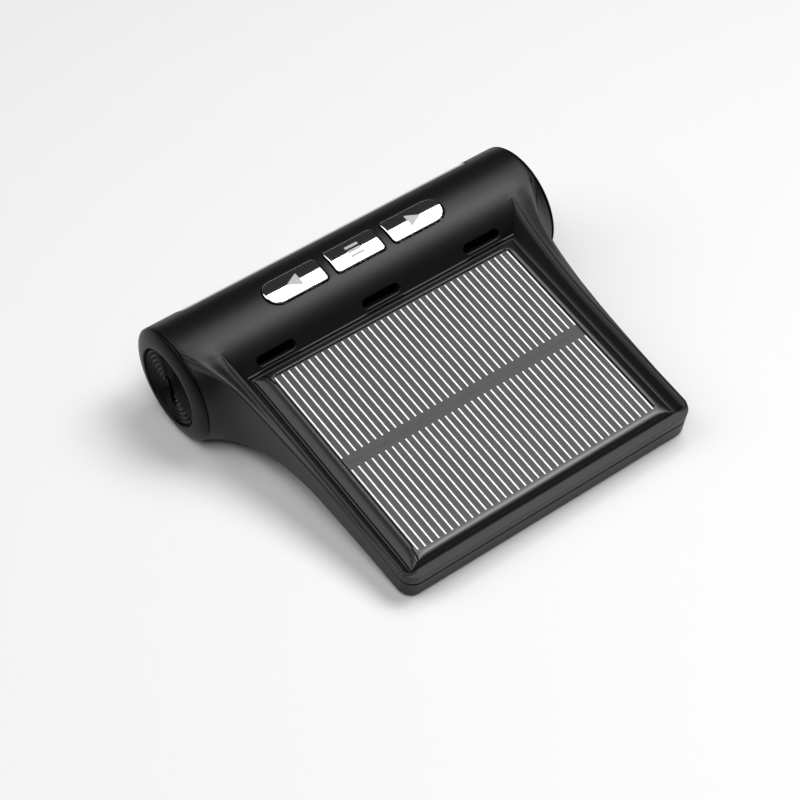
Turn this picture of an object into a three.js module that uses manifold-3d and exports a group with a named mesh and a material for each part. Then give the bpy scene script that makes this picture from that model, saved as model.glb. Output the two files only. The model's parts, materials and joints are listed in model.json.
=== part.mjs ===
// Solar tyre pressure display for a dashboard: a horizontal barrel with the screen, the keys and the
// electronics, and a thin plate in front of it that carries a solar panel in a shallow tray.
//
// Everything is modelled in the plate frame, in millimetres: X runs along the barrel, Y from the
// plate's front edge back towards the barrel, Z is square to the plate, and the plate's front bottom
// edge is at Y = 0, Z = 0. The last lines tip the whole object until it rests on the barrel and on
// that edge, and put the origin below the middle of its bounding box.

import * as THREE from 'three';
import { mergeVertices } from 'three/addons/utils/BufferGeometryUtils.js';
import Module from 'manifold-3d';

const wasm = await Module();
wasm.setup();

// ---------------------------------------------------------------- driving dimensions

const GAP = 0.2;                    // running gap between two pieces that touch on the real object
const WALL = 1.6;                   // housing wall

const barrel = { y: 61.2, z: -1.5, r: 11.6, half: 40.1 };
const bore = barrel.r - WALL;       // inner radius of the barrel

const plate = { top: 6.2, cornerR: 3.0, edgeR: 0.8 };
const tray = { floor: 4.3, skin: 1.0, halfW: 30.45, front: 2.4, slope: 0.62 };
const panel = { halfW: 30.0, front: 2.85, back: 50.6, base: 4.5, bevel: 2.4, top: 5.3 };

const windowArc = { centre: 10, half: 38, halfX: 33.2 };        // degrees about the barrel's axis
const keyArc = { centre: 88.1, half: 13.4 };
const keySpans = [[-20.25, -7.6], [-5.5, 5.5], [7.6, 20.25]];   // along X, left to right
const keyNames = ['previous', 'menu', 'next'];
const keyProud = 0.45;
const keyLean = keyArc.centre - 90;
const ventSpans = [-23.75, 0, 23.75];
const vent = { angle: 138.6, length: 8.4, width: 1.9 };

// The cap's rim is domed: it falls by round towards its outer face.
const cap = { width: 1.5, round: 3.2, faceR: 8.2, faceDepth: 0.8, ridges: 7, ridgePitch: 0.9, ridgeHeight: 0.45 };
const slot = { long: 6.9, short: 2.0, lean: -20.7, y: -0.45, z: -0.6 };

const rearScrew = { x: 26, y: 44, seat: -3.2, tip: 1.9, headR: 1.9, headH: 1.5, shankR: 0.95 };
const frontScrew = { x: 26.5, y: 9, seat: 0.95, tip: 3.75, headR: 1.5, headH: 0.75, shankR: 0.7 };

// Side views of the plate as points [y, value]; smooth curves run through them.
const topEdge = curveThrough([[0, 6.2], [14, 6.2], [27, 6.2], [33, 6.33], [39, 6.72], [45, 7.45], [51, 8.5],
  [54, 9.3], [57, 9.88], [61.2, 10.1]]);
const bottomEdge = curveThrough([[0, 0], [13, 0], [26, 0], [33, -0.8], [39, -2.85], [45, -5.8], [51, -9.15],
  [55.5, -11.6], [61.2, -13.1]]);
const seamEdge = curveThrough([[-2, 4.0], [0, 4.0], [8, 4.75], [20, 5.55], [28, 5.95], [36, 6.2], [45, 7.15],
  [51, 8.2], [54, 9.0], [57, 9.6], [59.2, 9.75]]);
// Half width of the plate along its upper and its lower edge.
const upperHalf = curveThrough([[3, 32.65], [21, 33.0], [30, 33.5], [39, 34.2], [45, 35.0], [51, 36.4],
  [54, 37.4], [57, 38.95], [59.2, 40.0], [61.2, 40.0]]);
const lowerHalf = curveThrough([[3, 32.65], [21, 33.0], [30, 33.45], [39, 34.1], [45, 35.0], [48, 35.75],
  [50.3, 37.0], [52.6, 38.85], [55.2, 40.0], [61.2, 40.0]]);

// ---------------------------------------------------------------- curves and solids

// A smooth function of y through the given points, with no overshoot.
function curveThrough(points) {
  const slopes = points.map((p, i) => {
    if (i === 0 || i === points.length - 1) return 0;
    const before = (p[1] - points[i - 1][1]) / (p[0] - points[i - 1][0]);
    const after = (points[i + 1][1] - p[1]) / (points[i + 1][0] - p[0]);
    return before * after <= 0 ? 0 : 2 * before * after / (before + after);
  });
  return (y) => {
    if (y <= points[0][0]) return points[0][1];
    const last = points.length - 1;
    if (y >= points[last][0]) return points[last][1];
    const i = points.findIndex((p) => y < p[0]) - 1;
    const span = points[i + 1][0] - points[i][0];
    const t = (y - points[i][0]) / span;
    const rise = 3 * t * t - 2 * t * t * t;
    return points[i][1] * (1 - rise) + points[i + 1][1] * rise
      + span * (slopes[i] * t * (1 - t) ** 2 - slopes[i + 1] * t * t * (1 - t));
  };
}

function steps(from, to, count) {
  return Array.from({ length: count + 1 }, (_, i) => from + (to - from) * i / count);
}

function radians(degrees) {
  return degrees * Math.PI / 180;
}

// Turns a closed geometry into a solid that can be joined and cut.
function solid(geometry) {
  const bare = geometry.clone();
  bare.deleteAttribute('normal');
  bare.deleteAttribute('uv');
  const merged = mergeVertices(bare, 1e-4);
  return new wasm.Manifold(new wasm.Mesh({
    numProp: 3,
    vertProperties: new Float32Array(merged.attributes.position.array),
    triVerts: new Uint32Array(merged.index.array),
  }));
}

function geometryOf(body) {
  const mesh = body.getMesh();
  const geometry = new THREE.BufferGeometry();
  geometry.setAttribute('position', new THREE.BufferAttribute(new Float32Array(mesh.vertProperties), 3));
  geometry.setIndex(new THREE.BufferAttribute(new Uint32Array(mesh.triVerts), 1));
  return geometry;
}

// Skins a row of closed rings, each a list of [x, y, z], and closes both ends with flat caps.
function loft(rings, flat) {
  const count = rings[0].length;
  const positions = rings.flat(2);
  const index = [];
  for (let r = 0; r < rings.length - 1; r++) {
    for (let i = 0; i < count; i++) {
      const a = r * count + i;
      const b = r * count + (i + 1) % count;
      index.push(a, b, a + count, b, b + count, a + count);
    }
  }
  const outline = rings[0].map((p) => new THREE.Vector2(...flat(p)));
  const forward = THREE.ShapeUtils.isClockWise(outline) ? [...outline].reverse() : outline;
  const order = (i) => (forward === outline ? i : count - 1 - i);
  const start = (rings.length - 1) * count;
  const first = THREE.ShapeUtils.triangulateShape(forward, []).map((tri) => tri.map(order));
  const sign = forward === outline ? 1 : -1;
  for (const [a, b, c] of first) {
    index.push(...(sign > 0 ? [c, b, a] : [a, b, c]));
    index.push(...(sign > 0 ? [a, b, c] : [c, b, a]).map((i) => i + start));
  }
  return facingOut(positions, index);
}

// Builds the geometry, and turns every face round if the volume comes out negative.
function facingOut(positions, index) {
  const point = (i) => new THREE.Vector3(...positions.slice(3 * i, 3 * i + 3));
  let volume = 0;
  for (let i = 0; i < index.length; i += 3) {
    volume += point(index[i]).dot(point(index[i + 1]).cross(point(index[i + 2])));
  }
  const geometry = new THREE.BufferGeometry();
  geometry.setAttribute('position', new THREE.Float32BufferAttribute(positions, 3));
  geometry.setIndex(volume > 0 ? index : [...index].reverse());
  return geometry;
}

// A prism along X with the outline given as points [y, z].
function prismX(outline, x0, x1) {
  const ring = (x) => outline.map(([y, z]) => [x, y, z]);
  return loft([ring(x0), ring(x1)], (p) => [p[1], p[2]]);
}

function box(x0, x1, y0, y1, z0, z1) {
  return new THREE.BoxGeometry(x1 - x0, y1 - y0, z1 - z0)
    .translate((x0 + x1) / 2, (y0 + y1) / 2, (z0 + z1) / 2);
}

function rodX(r, x0, x1, y, z, sides = 60) {
  return new THREE.CylinderGeometry(r, r, x1 - x0, sides)
    .rotateZ(-Math.PI / 2).translate((x0 + x1) / 2, y, z);
}

function rodZ(r, x, y, z0, z1, sides = 16) {
  return new THREE.CylinderGeometry(r, r, z1 - z0, sides)
    .rotateX(Math.PI / 2).translate(x, y, (z0 + z1) / 2);
}

function rodY(r, x, z, y0, y1, sides = 16) {
  return new THREE.CylinderGeometry(r, r, y1 - y0, sides).translate(x, (y0 + y1) / 2, z);
}

// A rectangle with round corners, pulled along Z.
function roundedSlab(x0, x1, y0, y1, z0, z1, r, bevel = 0) {
  const shape = new THREE.Shape();
  shape.moveTo(x0 + r, y0).lineTo(x1 - r, y0).absarc(x1 - r, y0 + r, r, -Math.PI / 2, 0)
    .lineTo(x1, y1 - r).absarc(x1 - r, y1 - r, r, 0, Math.PI / 2)
    .lineTo(x0 + r, y1).absarc(x0 + r, y1 - r, r, Math.PI / 2, Math.PI)
    .lineTo(x0, y0 + r).absarc(x0 + r, y0 + r, r, Math.PI, Math.PI * 1.5);
  return new THREE.ExtrudeGeometry(shape, {
    depth: z1 - z0 - bevel, bevelEnabled: bevel > 0, bevelThickness: bevel, bevelSize: bevel,
    bevelOffset: -bevel, bevelSegments: 1, curveSegments: 5,
  }).translate(0, 0, z0 + bevel / 2);
}

// A stretch of tube wall about the barrel's axis. span(angle) gives the ends along X.
function barrelPatch(r0, r1, fromDeg, toDeg, count, span, bevel = 0) {
  const rings = steps(fromDeg, toDeg, count).map((degrees, i) => {
    const [x0, x1] = span(degrees);
    const atEnd = bevel > 0 && (i === 0 || i === count);
    const top = atEnd ? r1 - bevel : r1;
    const soft = atEnd ? 0.01 : bevel;
    const section = bevel > 0
      ? [[x0, r0], [x1, r0], [x1, r1 - bevel], [x1 - soft, top], [x0 + soft, top], [x0, r1 - bevel]]
      : [[x0, r0], [x1, r0], [x1, r1], [x0, r1]];
    const angle = radians(degrees);
    return section.map(([x, r]) => [x, barrel.y + r * Math.cos(angle), barrel.z + r * Math.sin(angle)]);
  });
  return loft(rings, (p) => {
    const angle = radians(fromDeg);
    return [p[0], (p[1] - barrel.y) * Math.cos(angle) + (p[2] - barrel.z) * Math.sin(angle)];
  });
}

// ---------------------------------------------------------------- the outer body

// How far the flank reaches out at height z because the barrel's end is near.
function flare(y, z) {
  const rise = Math.min(barrel.r, Math.abs(z - barrel.z));
  const barrelFront = barrel.y - Math.sqrt(barrel.r ** 2 - rise ** 2);
  return 7.1 * Math.exp(-Math.max(0, barrelFront - y) / 5.2);
}

// Half width at y, at the fraction s of the way from the lower to the upper edge.
function flankHalf(y, s) {
  const low = bottomEdge(y);
  const high = topEdge(y);
  const straight = lowerHalf(y) * (1 - s) + upperHalf(y) * s;
  const between = flare(y, low) * (1 - s) + flare(y, high) * s;
  const bulge = Math.max(0, flare(y, low * (1 - s) + high * s) - between);
  return Math.min(barrel.half - 0.1, straight + bulge);
}

// One closed section of the plate and its flanks at y, drawn in by inset.
function plateSection(y, inset) {
  const cut = Math.max(0, plate.cornerR - (y - inset));
  const corner = plate.cornerR - Math.sqrt(Math.max(0, plate.cornerR ** 2 - cut ** 2));
  const edge = Math.max(0, plate.edgeR - (y - inset));
  const lift = plate.edgeR - Math.sqrt(Math.max(0, plate.edgeR ** 2 - edge ** 2));
  const low = bottomEdge(y) + lift + inset;
  const high = topEdge(y) - lift - inset;
  const chamfer = inset > 0 ? 0 : 0.45;
  const side = steps(0, 1, 5).map((s) => {
    const x = flankHalf(y, s) - corner - inset;
    const nearEnd = (s === 0 || s === 1) ? chamfer : 0;
    return [x - nearEnd, low + (high - low) * s];
  });
  if (chamfer > 0) {
    side.splice(1, 0, [side[0][0] + chamfer, low + chamfer]);
    side.splice(-1, 0, [side[side.length - 1][0] + chamfer, high - chamfer]);
  }
  const other = side.map(([x, z]) => [-x, z]).reverse();
  return [...side, ...other].map(([x, z]) => [x, y, z]);
}

function plateBody(inset) {
  const front = [0, 0.12, 0.4, 0.8, 1.5, 3].map((y) => y + inset);
  const rest = [10, 18, 26, 30, 34, 38, 41, 44, 47, 49.5, 51.5, 53.5, 55.5, 57.2, 59, 61.2];
  return solid(loft([...front, ...rest].map((y) => plateSection(y, inset)), (p) => [p[0], p[2]]));
}

// The tray's space above its floor; grow makes it larger all round.
function traySpace(grow) {
  const level = (z) => {
    const half = tray.halfW + grow + tray.slope * (z - tray.floor);
    const front = tray.front - grow - tray.slope * 0.3 * (z - tray.floor);
    const back = barrel.y - 1;
    return [[-half, front, z], [half, front, z], [half, back, z], [-half, back, z]];
  };
  return solid(loft([level(tray.floor - grow), level(barrel.z + barrel.r + 2)], (p) => [p[0], p[1]]));
}

function barrelRod(r, half) {
  return solid(rodX(r, -half, half, barrel.y, barrel.z));
}

function housing() {
  const outside = plateBody(0).subtract(traySpace(0)).add(barrelRod(barrel.r, barrel.half));
  const inside = plateBody(WALL).subtract(traySpace(tray.skin)).add(barrelRod(bore, barrel.half + 5));
  return outside.subtract(inside);
}

// ---------------------------------------------------------------- openings in the housing

function windowOpening() {
  const { centre, half, halfX } = windowArc;
  const wide = barrelPatch(bore + 0.5, barrel.r + 2, centre - half, centre + half, 12, () => [-halfX, halfX]);
  const lip = 2.2;
  const lipDeg = 5;
  const through = barrelPatch(bore - 2, barrel.r + 1, centre - half + lipDeg, centre + half - lipDeg, 12,
    () => [-halfX + lip, halfX - lip]);
  return solid(wide).add(solid(through));
}

// The key's ends along X at an angle: the outer keys have one half-round end.
function keySpan(index, grow) {
  const [x0, x1] = keySpans[index];
  const halfArc = radians(keyArc.half) * barrel.r + grow;
  return (degrees) => {
    const off = radians(degrees - keyArc.centre) * barrel.r;
    const round = (r) => r - Math.sqrt(Math.max(0, r * r - Math.max(0, Math.abs(off) - halfArc + r) ** 2));
    const left = index === 0 ? round(halfArc) : round(0.7);
    const right = index === 2 ? round(halfArc) : round(0.7);
    return [x0 - grow + left, x1 + grow - right];
  };
}

function keyBlock(index, r0, r1, grow, bevel = 0) {
  const half = keyArc.half + grow / radians(barrel.r);
  return barrelPatch(r0, r1, keyArc.centre - half, keyArc.centre + half, 14, keySpan(index, grow), bevel);
}

function ventOpening(x) {
  const shape = new THREE.Shape();
  const run = (vent.length - vent.width) / 2;
  const r = vent.width / 2;
  shape.absarc(run, 0, r, -Math.PI / 2, Math.PI / 2).absarc(-run, 0, r, Math.PI / 2, Math.PI * 1.5);
  const prism = new THREE.ExtrudeGeometry(shape, { depth: 6, bevelEnabled: false, curveSegments: 6 });
  return solid(prism.translate(0, 0, bore - 2).rotateX(radians(vent.angle - 90))
    .translate(x, barrel.y, barrel.z));
}

// ---------------------------------------------------------------- splitting the housing

// Everything that belongs to the top shell; grow widens it to leave the joint's gap. The joint
// follows the swept edge of the flanks, drops into the barrel at seamEnd, and leaves it at the back
// level with the barrel's axis. A tongue inside the wall laps it.
function topRegion(grow) {
  const seamEnd = 59.2;
  const high = 20;
  const ys = steps(-1, seamEnd - grow, 22);
  const seam = (drop, least) => ys.map((y) => [y, Math.max(least, seamEdge(y) - drop) - grow]);
  const back = barrel.y + barrel.r + 2;
  const behind = [[seamEnd - grow, barrel.z + bore / 2], [barrel.y + bore / 2, barrel.z - grow],
    [back, barrel.z - grow], [back, high], [-1, high]];
  const skin = solid(prismX([...seam(0, 0), ...behind], -60, 60));
  const tongue = solid(prismX([...seam(WALL, tray.floor - 1.2), [seamEnd - grow, high], [-1, high]], -60, 60))
    .intersect(plateBody(1.05 - grow));
  const floor = traySpace(tray.skin + 0.15 + grow).intersect(solid(box(-60, 60, -1, barrel.y - 2, 0, high)));
  return skin.add(tongue).add(floor);
}

function screwWell({ x, y, seat, headR }, side) {
  return solid(rodZ(headR + 0.3, side * x, y, seat - 12, seat)).add(solid(rodZ(headR * 0.62, side * x, y,
    seat - 1, seat + 8)));
}

const sides = [-1, 1];
const partingGap = GAP;
const shellPost = { gap: -0.7, lowR: 2.9, highR: 2.4, pilotR: 0.62 };

function bottomShell(whole) {
  let body = whole.subtract(topRegion(partingGap));
  for (const side of sides) {
    const low = bottomEdge(rearScrew.y) - 0.2;
    const post = solid(rodZ(shellPost.lowR, side * rearScrew.x, rearScrew.y, low, shellPost.gap - GAP));
    const trimmed = post.intersect(plateBody(0.3));
    const pad = solid(rodZ(2.4, side * frontScrew.x, frontScrew.y, 1, 2.1));
    body = body.add(trimmed).add(pad);
    body = body.subtract(screwWell(rearScrew, side)).subtract(screwWell(frontScrew, side));
    body = body.add(boardPost(side));
  }
  return body;
}

function topShell(whole) {
  let body = whole.intersect(topRegion(0));
  for (const side of sides) {
    const post = solid(rodZ(shellPost.highR, side * rearScrew.x, rearScrew.y, shellPost.gap, tray.floor - 0.3));
    const pilot = solid(rodZ(rearScrew.shankR - 0.25, side * rearScrew.x, rearScrew.y, -3, rearScrew.tip + 0.4));
    const wide = solid(rodZ(rearScrew.shankR + GAP, side * rearScrew.x, rearScrew.y, -3, rearScrew.tip + 0.2));
    const pad = solid(rodZ(2.0, side * frontScrew.x, frontScrew.y, 2.3, tray.floor - 0.3));
    const small = solid(rodZ(frontScrew.shankR + GAP, side * frontScrew.x, frontScrew.y, 1.5,
      frontScrew.tip + 0.2));
    body = body.add(post).add(pad).subtract(pilot).subtract(wide).subtract(small);
    body = body.add(keyBoardPost(side));
  }
  for (let i = 0; i < keySpans.length; i++) {
    body = body.subtract(solid(keyBlock(i, bore - 2, barrel.r + 2, 0.25)));
  }
  for (const x of ventSpans) {
    body = body.subtract(ventOpening(x));
  }
  return body.subtract(solid(rodZ(1.6, solarLead.x, solarLead.y, 2, 6, 16)));
}

// ---------------------------------------------------------------- boards and their fixings

// The main board lies in a plane through the barrel that leans with the charging socket. In that
// plane's own frame Y is the board's normal, Z runs up the board, and the origin is the barrel's axis.
const board = { lean: slot.lean, back: -1.75, front: -2.75, low: -8.9, high: 2.9, half: 34 };
const keyBoard = { low: 4.3, high: 5.3, front: -6.9, back: 1.6, half: 27 };
const boardScrew = { x: 30.5, up: -5.2 };
const keyBoardScrew = { x: 24.3, y: -4.8 };
const solarLead = { x: -17, y: 47.4 };

function onBarrel(geometry, leanDeg = 0) {
  return geometry.rotateX(radians(leanDeg)).translate(0, barrel.y, barrel.z);
}

// A rib that stands on the bottom wall and holds the board's screw.
function boardPost(side) {
  const x = side * boardScrew.x;
  const block = onBarrel(box(x - 1.9, x + 1.9, -8, board.front - GAP, -11, boardScrew.up + 1.9), board.lean);
  const hole = onBarrel(rodY(0.9, x, boardScrew.up, -7.4, board.front + 2), board.lean);
  return solid(block).subtract(solid(hole)).intersect(plateBody(0.5).add(barrelRod(bore + 0.5, 40)));
}

function keyBoardPost(side) {
  const x = side * keyBoardScrew.x;
  const outer = onBarrel(rodZ(1.8, x, keyBoardScrew.y, keyBoard.high + GAP, bore), keyLean);
  const hole = onBarrel(rodZ(0.9, x, keyBoardScrew.y, keyBoard.high - 1, keyBoard.high + 3.2), keyLean);
  return solid(outer).intersect(barrelRod(bore + 0.5, 40)).subtract(solid(hole));
}

function boardWithHoles(geometry, holes) {
  return holes.reduce((body, hole) => body.subtract(solid(hole)), solid(geometry));
}

function mainBoard() {
  const plain = box(-board.half, board.half, board.front, board.back, board.low, board.high);
  const holes = sides.map((side) => rodY(1.1, side * boardScrew.x, boardScrew.up, -5, 0));
  return onBarrel(geometryOf(boardWithHoles(plain, holes)), board.lean);
}

function keyBoardPlate() {
  const plain = box(-keyBoard.half, keyBoard.half, keyBoard.front, keyBoard.back, keyBoard.low, keyBoard.high);
  const holes = sides.map((side) => rodZ(1.1, side * keyBoardScrew.x, keyBoardScrew.y, 2, 8));
  return onBarrel(geometryOf(boardWithHoles(plain, holes)), keyLean);
}

// A screw along Z: pan head from the seat downwards, shank up to the tip, with a cross recess.
function screwSolid({ seat, tip, headR, headH, shankR }) {
  const profile = [[0, seat - headH], [headR * 0.72, seat - headH], [headR, seat - headH * 0.45],
    [headR, seat - 0.05], [shankR, seat - 0.05], [shankR, tip - shankR * 0.8], [0.12, tip], [0, tip]];
  const body = new THREE.LatheGeometry(profile.map(([r, z]) => new THREE.Vector2(r, z)), 12)
    .rotateX(Math.PI / 2);
  const arm = headR * 0.62;
  const depth = seat - headH * 0.55;
  const cross = solid(box(-arm, arm, -0.22, 0.22, seat - headH - 1, depth))
    .add(solid(box(-0.22, 0.22, -arm, arm, seat - headH - 1, depth)));
  return geometryOf(solid(body).subtract(cross));
}

// ---------------------------------------------------------------- keys and switches

const keySwitch = { y: -0.5, half: 2.0, low: 5.5, high: 7.0, plungerR: 1.1, plungerLow: 6.55, plungerTop: 8.0 };

function keyCap(index) {
  const [x0, x1] = keySpans[index];
  const middle = (x0 + x1) / 2;
  const face = solid(keyBlock(index, bore - 0.5, barrel.r + keyProud, 0, 0.35));
  const flangeHalf = keyArc.half + 4;
  const flange = solid(barrelPatch(bore - 1.1, bore - 0.4, keyArc.centre - flangeHalf,
    keyArc.centre + flangeHalf, 12, () => [x0 - 0.6, x1 + 0.6]));
  const stem = solid(onBarrel(rodZ(1.5, middle, keySwitch.y, keySwitch.plungerTop + GAP, bore - 0.8), keyLean));
  return geometryOf(face.add(flange).add(stem));
}

function switchBody(x) {
  const { y, half, low, high, plungerR } = keySwitch;
  const bodyBox = box(x - half, x + half, y - half, y + half, low, high);
  const hole = rodZ(plungerR + GAP, x, y, low + 0.5, high + 1);
  return onBarrel(geometryOf(solid(bodyBox).subtract(solid(hole))), keyLean);
}

function switchPlunger(x) {
  const { y, plungerR, plungerLow, plungerTop } = keySwitch;
  return onBarrel(rodZ(plungerR, x, y, plungerLow, plungerTop), keyLean);
}

// ---------------------------------------------------------------- end caps

function capProfile(hollowR) {
  const arc = steps(0, 90, 6).map((degrees) => {
    const across = Math.cos(radians(degrees)) ** 1.3;
    const along = Math.sin(radians(degrees)) ** 1.3;
    return [barrel.r - cap.round * (1 - across), GAP + (cap.width - GAP) * along];
  });
  const ridges = [];
  for (let i = 0; i < cap.ridges; i++) {
    const outer = cap.faceR - 0.35 - i * cap.ridgePitch;
    ridges.push([outer, cap.faceDepth], [outer - cap.ridgePitch / 2, cap.faceDepth + cap.ridgeHeight]);
  }
  return [[0, 0.1], [hollowR, 0.1], [hollowR, -3], [bore - GAP, -3], [bore - GAP, GAP],
    ...arc, [cap.faceR, cap.width], [cap.faceR - 0.3, cap.faceDepth], ...ridges,
    [cap.faceR - 0.35 - cap.ridges * cap.ridgePitch, cap.faceDepth], [0, cap.faceDepth]];
}

function endCap(side) {
  const profile = capProfile(bore - GAP - 1.2).map(([r, t]) => new THREE.Vector2(r, t));
  const lathe = new THREE.LatheGeometry(profile, 40).rotateZ(-Math.PI / 2);
  const placed = lathe.translate(barrel.half, barrel.y, barrel.z);
  const geometry = side < 0 ? placed.rotateZ(Math.PI).translate(0, 2 * barrel.y, 0) : placed;
  return solid(geometry);
}

function leftCap() {
  const r = 0.6;
  const opening = roundedSlab(-slot.long / 2, slot.long / 2, -slot.short / 2, slot.short / 2, -6, 6, r)
    .rotateY(Math.PI / 2).rotateX(radians(slot.lean))
    .translate(-barrel.half - 1, barrel.y + slot.y, barrel.z + slot.z);
  return geometryOf(endCap(-1).subtract(solid(opening)));
}

// ---------------------------------------------------------------- solar panel

function insetRect(inset, z) {
  const w = panel.halfW - inset;
  return [[-w, panel.front + inset, z], [w, panel.front + inset, z], [w, panel.back - inset, z],
    [-w, panel.back - inset, z]];
}

const cells = { inset: 2.1, top: 4.9, thick: 0.2 };
const backing = { inset: 1.2, low: 4.35, high: 4.62 };

// A low block under the cover, as far in from the panel's edge as inset.
function underCover(inset, low, high) {
  return loft([insetRect(inset, low), insetRect(inset, high)], (p) => [p[0], p[1]]);
}

// The moulded cover: a bevelled border round a flat top, hollow where the cells and their board lie.
function solarCover() {
  const outer = loft([insetRect(0, panel.base), insetRect(0.4, panel.base + 0.35),
    insetRect(panel.bevel, panel.top)], (p) => [p[0], p[1]]);
  const boardRoom = underCover(backing.inset - GAP, panel.base - 1, backing.high + 0.1);
  const cellRoom = underCover(cells.inset - GAP, panel.base - 1, cells.top + 0.1);
  return geometryOf(solid(outer).subtract(solid(boardRoom)).subtract(solid(cellRoom)));
}

function solarCells(front, back) {
  const half = panel.halfW - cells.inset;
  return box(-half, half, front, back, cells.top - cells.thick, cells.top);
}

function backingBoard() {
  return underCover(backing.inset, backing.low, backing.high);
}

// ---------------------------------------------------------------- display

const lens = { inner: bore + 0.6, outer: barrel.r - 0.05, side: 0.25 };

function displayWindow() {
  const { centre, half, halfX } = windowArc;
  const slack = lens.side / radians(barrel.r);
  return barrelPatch(lens.inner, lens.outer, centre - half + slack, centre + half - slack, 12,
    () => [-halfX + lens.side, halfX - lens.side]);
}

// The display stack faces the window: Y is its normal, counted from the barrel's axis.
const stack = { lcd: [5.35, 7.15], light: [3.4, 5.15], frame: [3.2, 7.3] };

function displayPart(geometry) {
  return onBarrel(geometry, windowArc.centre);
}

function displayFrame() {
  const [y0, y1] = stack.frame;
  const outer = solid(box(-30.2, 30.2, y0, y1, -6.5, 6.5));
  const inner = solid(box(-28.3, 28.3, y0 - 1, y1 + 1, -5.85, 5.85));
  return displayPart(geometryOf(outer.subtract(inner)));
}

// ---------------------------------------------------------------- leads, coil and ribbon

function roundBar(points, r, stepsAlong) {
  const section = new THREE.Shape();
  section.absarc(0, 0, r, 0, Math.PI * 2);
  const path = new THREE.CatmullRomCurve3(points.map((p) => new THREE.Vector3(...p)));
  return new THREE.ExtrudeGeometry(section, {
    steps: stepsAlong, extrudePath: path, bevelEnabled: false, curveSegments: 3,
  });
}

// The flat ribbon hangs in a loop between the display and the main board.
function displayRibbon() {
  const thick = 0.2;
  const curve = new THREE.SplineCurve([[3.6, -3.4], [2.3, -5.6], [0, -7.0], [-2.2, -6.9], [-3.35, -5.5]]
    .map(([y, z]) => new THREE.Vector2(y, z)));
  const line = curve.getPoints(16);
  const offset = line.map((p, i) => {
    const ahead = line[Math.min(i + 1, 16)].clone().sub(line[Math.max(i - 1, 0)]).normalize();
    return [p.x + ahead.y * thick, p.y - ahead.x * thick];
  });
  return onBarrel(prismX([...line.map((p) => [p.x, p.y]), ...offset.reverse()], -7, 7));
}

function antennaCoil() {
  const turns = 6;
  const pitch = 1.5;
  const coilR = 1.9;
  const points = steps(0, turns, turns * 8).map((turn) => {
    const angle = turn * Math.PI * 2;
    return [8 + turn * pitch, 0.75 + coilR * Math.cos(angle), -5.6 + coilR * Math.sin(angle)];
  });
  return onBarrel(roundBar(points, 0.3, turns * 9), board.lean);
}

// ---------------------------------------------------------------- the object

const looks = {
  shell: [0x17181a, 0.42, 0.0],
  chrome: [0xd8dadd, 0.12, 1.0],
  cover: [0x2c2d30, 0.28, 0.0],
  cell: [0x34363b, 0.45, 0.1],
  boardGreen: [0x14532d, 0.5, 0.0],
  boardBlack: [0x15171a, 0.5, 0.0],
  smoked: [0x0a0b0d, 0.06, 0.0],
  glass: [0x2a3330, 0.15, 0.0],
  white: [0xe8e8e2, 0.5, 0.0],
  steel: [0xb9bcc0, 0.3, 1.0],
  screw: [0x3a3b3e, 0.35, 1.0],
  copper: [0xc07c3e, 0.3, 1.0],
  pouch: [0xb8bcc2, 0.35, 0.6],
  red: [0xb01818, 0.5, 0.0],
  black: [0x101010, 0.5, 0.0],
  foam: [0x1b1b1c, 0.95, 0.0],
};

const object = new THREE.Group();

function piece(name, geometry, look, parent = object) {
  const [colour, roughness, metalness] = looks[look];
  const material = new THREE.MeshStandardMaterial({ color: colour, roughness, metalness });
  const mesh = new THREE.Mesh(geometry, material);
  mesh.name = name;
  parent.add(mesh);
  return mesh;
}

function addHousing() {
  const whole = housing().subtract(windowOpening());
  piece('top_shell', geometryOf(topShell(whole)), 'shell');
  piece('bottom_shell', geometryOf(bottomShell(whole)), 'shell');
  piece('left_end_cap', leftCap(), 'shell');
  piece('right_end_cap', geometryOf(endCap(1)), 'shell');
  for (const side of sides) {
    const label = side < 0 ? 'left' : 'right';
    piece(`rear_screw_${label}`, screwSolid(rearScrew), 'screw').position.set(side * rearScrew.x, rearScrew.y, 0);
    piece(`front_screw_${label}`, screwSolid(frontScrew), 'screw')
      .position.set(side * frontScrew.x, frontScrew.y, 0);
  }
  piece('adhesive_pad', roundedSlab(-21, 21, 6.5, 25.5, -0.9, -0.1, 2), 'foam');
}

function addSolarPanel() {
  const middle = (panel.front + panel.back) / 2;
  piece('solar_backing_board', backingBoard(), 'boardBlack');
  piece('solar_cells_front_row', solarCells(panel.front + cells.inset, middle - 0.6), 'cell');
  piece('solar_cells_rear_row', solarCells(middle + 0.6, panel.back - cells.inset), 'cell');
  piece('solar_cover', solarCover(), 'cover');
}

function addKeys() {
  keyNames.forEach((name, i) => {
    const middle = (keySpans[i][0] + keySpans[i][1]) / 2;
    piece(`button_${name}`, keyCap(i), 'chrome');
    piece(`switch_plunger_${name}`, switchPlunger(middle), 'black');
    piece(`switch_body_${name}`, switchBody(middle), 'steel');
  });
  piece('button_board', keyBoardPlate(), 'boardGreen');
  for (const side of sides) {
    const label = side < 0 ? 'left' : 'right';
    const size = { seat: keyBoard.low - 0.1, tip: keyBoard.high + 3, headR: 1.5, headH: 0.9, shankR: 0.7 };
    piece(`button_board_screw_${label}`, onBarrel(screwSolid(size).translate(side * keyBoardScrew.x,
      keyBoardScrew.y, 0), keyLean), 'screw');
  }
}

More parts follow.
